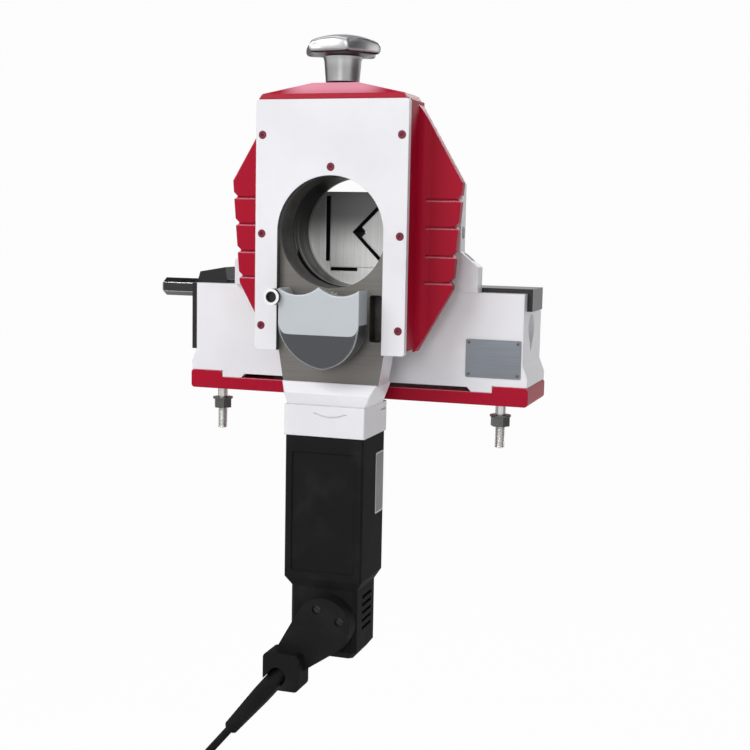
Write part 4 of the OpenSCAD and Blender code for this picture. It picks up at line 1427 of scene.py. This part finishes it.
@dataclass
class Plates:
    """Bare plates and their rivets: the rating plate's and the motor's label."""

    left: float = 134.0
    right: float = 197.0
    low: float = 31.0
    high: float = 74.0
    face: float = -50.0
    margin: float = 3.6
    rivet_r: float = 1.7
    rivet_h: float = 0.9
    motor_side: float = 45.5
    label_y: float = 51.5
    label_z: float = -280.0
    label_wide: float = 14.0
    label_tall: float = 35.0
    label_corner: float = 2.5
    label_border: float = 2.2

    def rivets(self) -> None:
        """Make the four domed rivets: a quarter ellipse turned about each axis."""
        made = Surface("plate_rivets")
        arc = np.linspace(0, math.pi / 2, 6)
        dome = revolve(self.rivet_r * np.cos(arc) + 0.02, self.rivet_h * np.sin(arc), 16)
        for x in (self.left + self.margin, self.right - self.margin):
            for z in (self.low + self.margin, self.high - self.margin):
                spot = np.array([x, self.face, z])
                made.grid(aim(dome, np.array([0, -1.0, 0]), spot) * MM)
        piece = made.piece(NUT_STEEL)
        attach(piece, Body.BASE.value)

    def label(self) -> None:
        """Make the bare label on the motor's side: a thin sheet on a pale border."""
        for name, finish, inset, top in (
            ("label_border", LABEL_EDGE, 0.0, 0.3),
            ("motor_label", LABEL, self.label_border, 0.45),
        ):
            made = Surface(name)
            wide, tall = self.label_wide - inset, self.label_tall - inset
            sheet = oblong(wide, tall, self.label_corner, 32, 3.0)
            sheet = sheet + np.array([self.label_y, self.label_z])
            rows = [
                np.concatenate([np.full((32, 1), x), sheet], axis=-1)
                for x in (self.motor_side - 0.1, self.motor_side + top)
            ]
            made.grid(head(np.stack(rows)))
            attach(made.piece(finish), Body.SLIDE.value)


@dataclass(frozen=True)
class Lamp:
    """A square area lamp: its place, the length of its side and its power in watts."""

    name: str
    at: Point
    size: float
    power: float

    def build(self, aim_at: Point) -> None:
        """Add the lamp, facing a point."""
        data = bpy.data.lights.new(self.name, "AREA")
        data.size = self.size
        data.energy = self.power
        lamp = bpy.data.objects.new(self.name, data)
        lamp.location = self.at
        facing = Vector(aim_at) - Vector(self.at)
        lamp.rotation_euler = facing.to_track_quat("-Z", "Y").to_euler()
        bpy.context.scene.collection.objects.link(lamp)


@dataclass(frozen=True)
class Cloth:
    """A flat cloth hidden from the camera: a corner and its two sides."""

    name: str
    corner: Point
    first: Point
    second: Point
    finish: Finish

    def build(self) -> None:
        """Hang the cloth: the corner plus none or all of each side."""
        made = Surface(self.name)
        share = np.array([0.0, 1.0])
        across = share[None, :, None] * np.array(self.first)
        along = share[:, None, None] * np.array(self.second)
        made.grid(np.array(self.corner) + across + along, wrap=False)
        cloth = made.piece(self.finish)
        cloth.visible_camera = False
        cloth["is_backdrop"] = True


DARK_CLOTH = Finish("dark_cloth", (0.03, 0.03, 0.032), 0.9)
GREY_CLOTH = Finish("grey_cloth", (0.22, 0.22, 0.23), 0.9)
STUDIO_PAPER = Paper("studio_paper", (0.9, 0.9, 0.9), 0.9)
LAMPS = (
    Lamp("key", (-1.3, -2.1, 1.7), 1.6, 43.0),
    Lamp("fill", (2.0, -1.6, 0.5), 1.6, 3.5),
    Lamp("back", (0.6, 1.9, 1.5), 1.2, 22.0),
    Lamp("front", (0.1, -2.1, 0.42), 0.5, 5.5),
    Lamp("top", (-0.55, 0.55, 2.2), 0.9, 11.0),
)
CLOTHS = (
    Cloth("cloth_over", (-2.2, -0.9, 2.3), (4.4, 0.0, 0.0), (0.0, 4.3, 0.0), DARK_CLOTH),
    Cloth("cloth_left", (-2.6, 0.3, 2.2), (0.0, 0.0, -2.7), (0.0, 2.5, 0.0), DARK_CLOTH),
    Cloth("cloth_right", (2.6, -0.8, -0.5), (0.0, 0.0, 2.7), (0.0, 4.2, 0.0), GREY_CLOTH),
)


@dataclass(frozen=True)
class Studio:
    """Camera at the photograph's place, soft lamps, and a pale floor."""

    place: Point = (0.4832, -1.4526, 0.2017)
    azimuth: float = 18.0
    pitch: float = 6.75
    roll: float = 1.12
    focal: float = 1290.0
    frame_px: float = 750.0
    sensor: float = 36.0
    clip: Span = (0.05, 50.0)
    aim_at: Point = (0.0, -0.05, 0.05)
    ambient: float = 0.45
    floor_gap: float = 0.001
    floor_depth: Span = (-6.0, 9.0)
    floor_half: float = 9.0
    bend_from: float = 5.0
    bend: float = 0.35

    def camera(self) -> None:
        """Place the camera: its axes from azimuth, pitch and roll."""
        a, e, r = (math.radians(v) for v in (self.azimuth, self.pitch, self.roll))
        ahead = Vector((-math.sin(a) * math.cos(e), math.cos(a) * math.cos(e), -math.sin(e)))
        right = Vector((math.cos(a), math.sin(a), 0.0))
        up = right.cross(ahead)
        right, up = (
            math.cos(r) * right + math.sin(r) * up,
            math.cos(r) * up - math.sin(r) * right,
        )
        data = bpy.data.cameras.new("camera")
        data.sensor_width = self.sensor
        data.lens = self.focal / self.frame_px * self.sensor
        data.clip_start, data.clip_end = self.clip
        camera = bpy.data.objects.new("camera", data)
        turned = Matrix((right, up, -ahead)).transposed().to_4x4()
        camera.matrix_world = Matrix.Translation(self.place) @ turned
        bpy.context.scene.collection.objects.link(camera)
        bpy.context.scene.camera = camera

    def world(self) -> None:
        """White to the eye and in reflections, and a mild even light otherwise."""
        world = bpy.data.worlds.new("studio")
        graph = Graph(world, "Background")
        graph.set(
            Color=(1.0, 1.0, 1.0, 1.0),
            Strength=graph.seen() * (1.0 - self.ambient) + self.ambient,
        )
        bpy.context.scene.world = world

    def floor(self, level: float) -> None:
        """Lay the floor: a wide sheet that curves up far behind, as a parabola.

        Args:
            level: Height of the object's lowest point.
        """
        made = Surface("studio_floor")
        depth = np.linspace(*self.floor_depth, 40)
        rise = self.bend * np.clip(depth - self.bend_from, 0, None) ** 2
        height = level - self.floor_gap + rise
        across = np.array([-self.floor_half, self.floor_half])
        grid = np.stack(
            np.broadcast_arrays(across[None], depth[:, None], height[:, None]), axis=-1
        )
        made.grid(grid, wrap=False)
        made.piece(STUDIO_PAPER)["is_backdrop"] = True

    def build(self, level: float) -> None:
        """Light the scene, lay the floor under a level, and hang the cloths."""
        for lamp in LAMPS:
            lamp.build(self.aim_at)
        self.world()
        self.floor(level)
        for cloth in CLOTHS:
            cloth.build()
        bpy.context.scene.view_settings.view_transform = "Standard"


def dress(nodes: dict[str, bpy.types.Object]) -> None:
    """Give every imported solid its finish.

    Args:
        nodes: The solids' objects by name.
    """
    for finish, names in DRESS.items():
        for name in names:
            data = nodes[name].data
            data.materials.clear()
            data.materials.append(finish.material())
            LOG.info("%s: %s", name, finish.name)


def main() -> None:
    """Load the frame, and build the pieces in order."""
    logging.basicConfig(level=logging.INFO, format="%(message)s")
    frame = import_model()
    cad_low, cad_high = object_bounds()
    studio = Studio()
    studio.camera()
    MainsCord().build(frame)
    dress(frame["nodes"])
    StarKnob().build()
    fixings = Fixings()
    fixings.studs()
    fixings.spindle()
    plates = Plates()
    plates.rivets()
    plates.label()
    studio.build(cad_low.z)


if __name__ == "__main__":
    main()
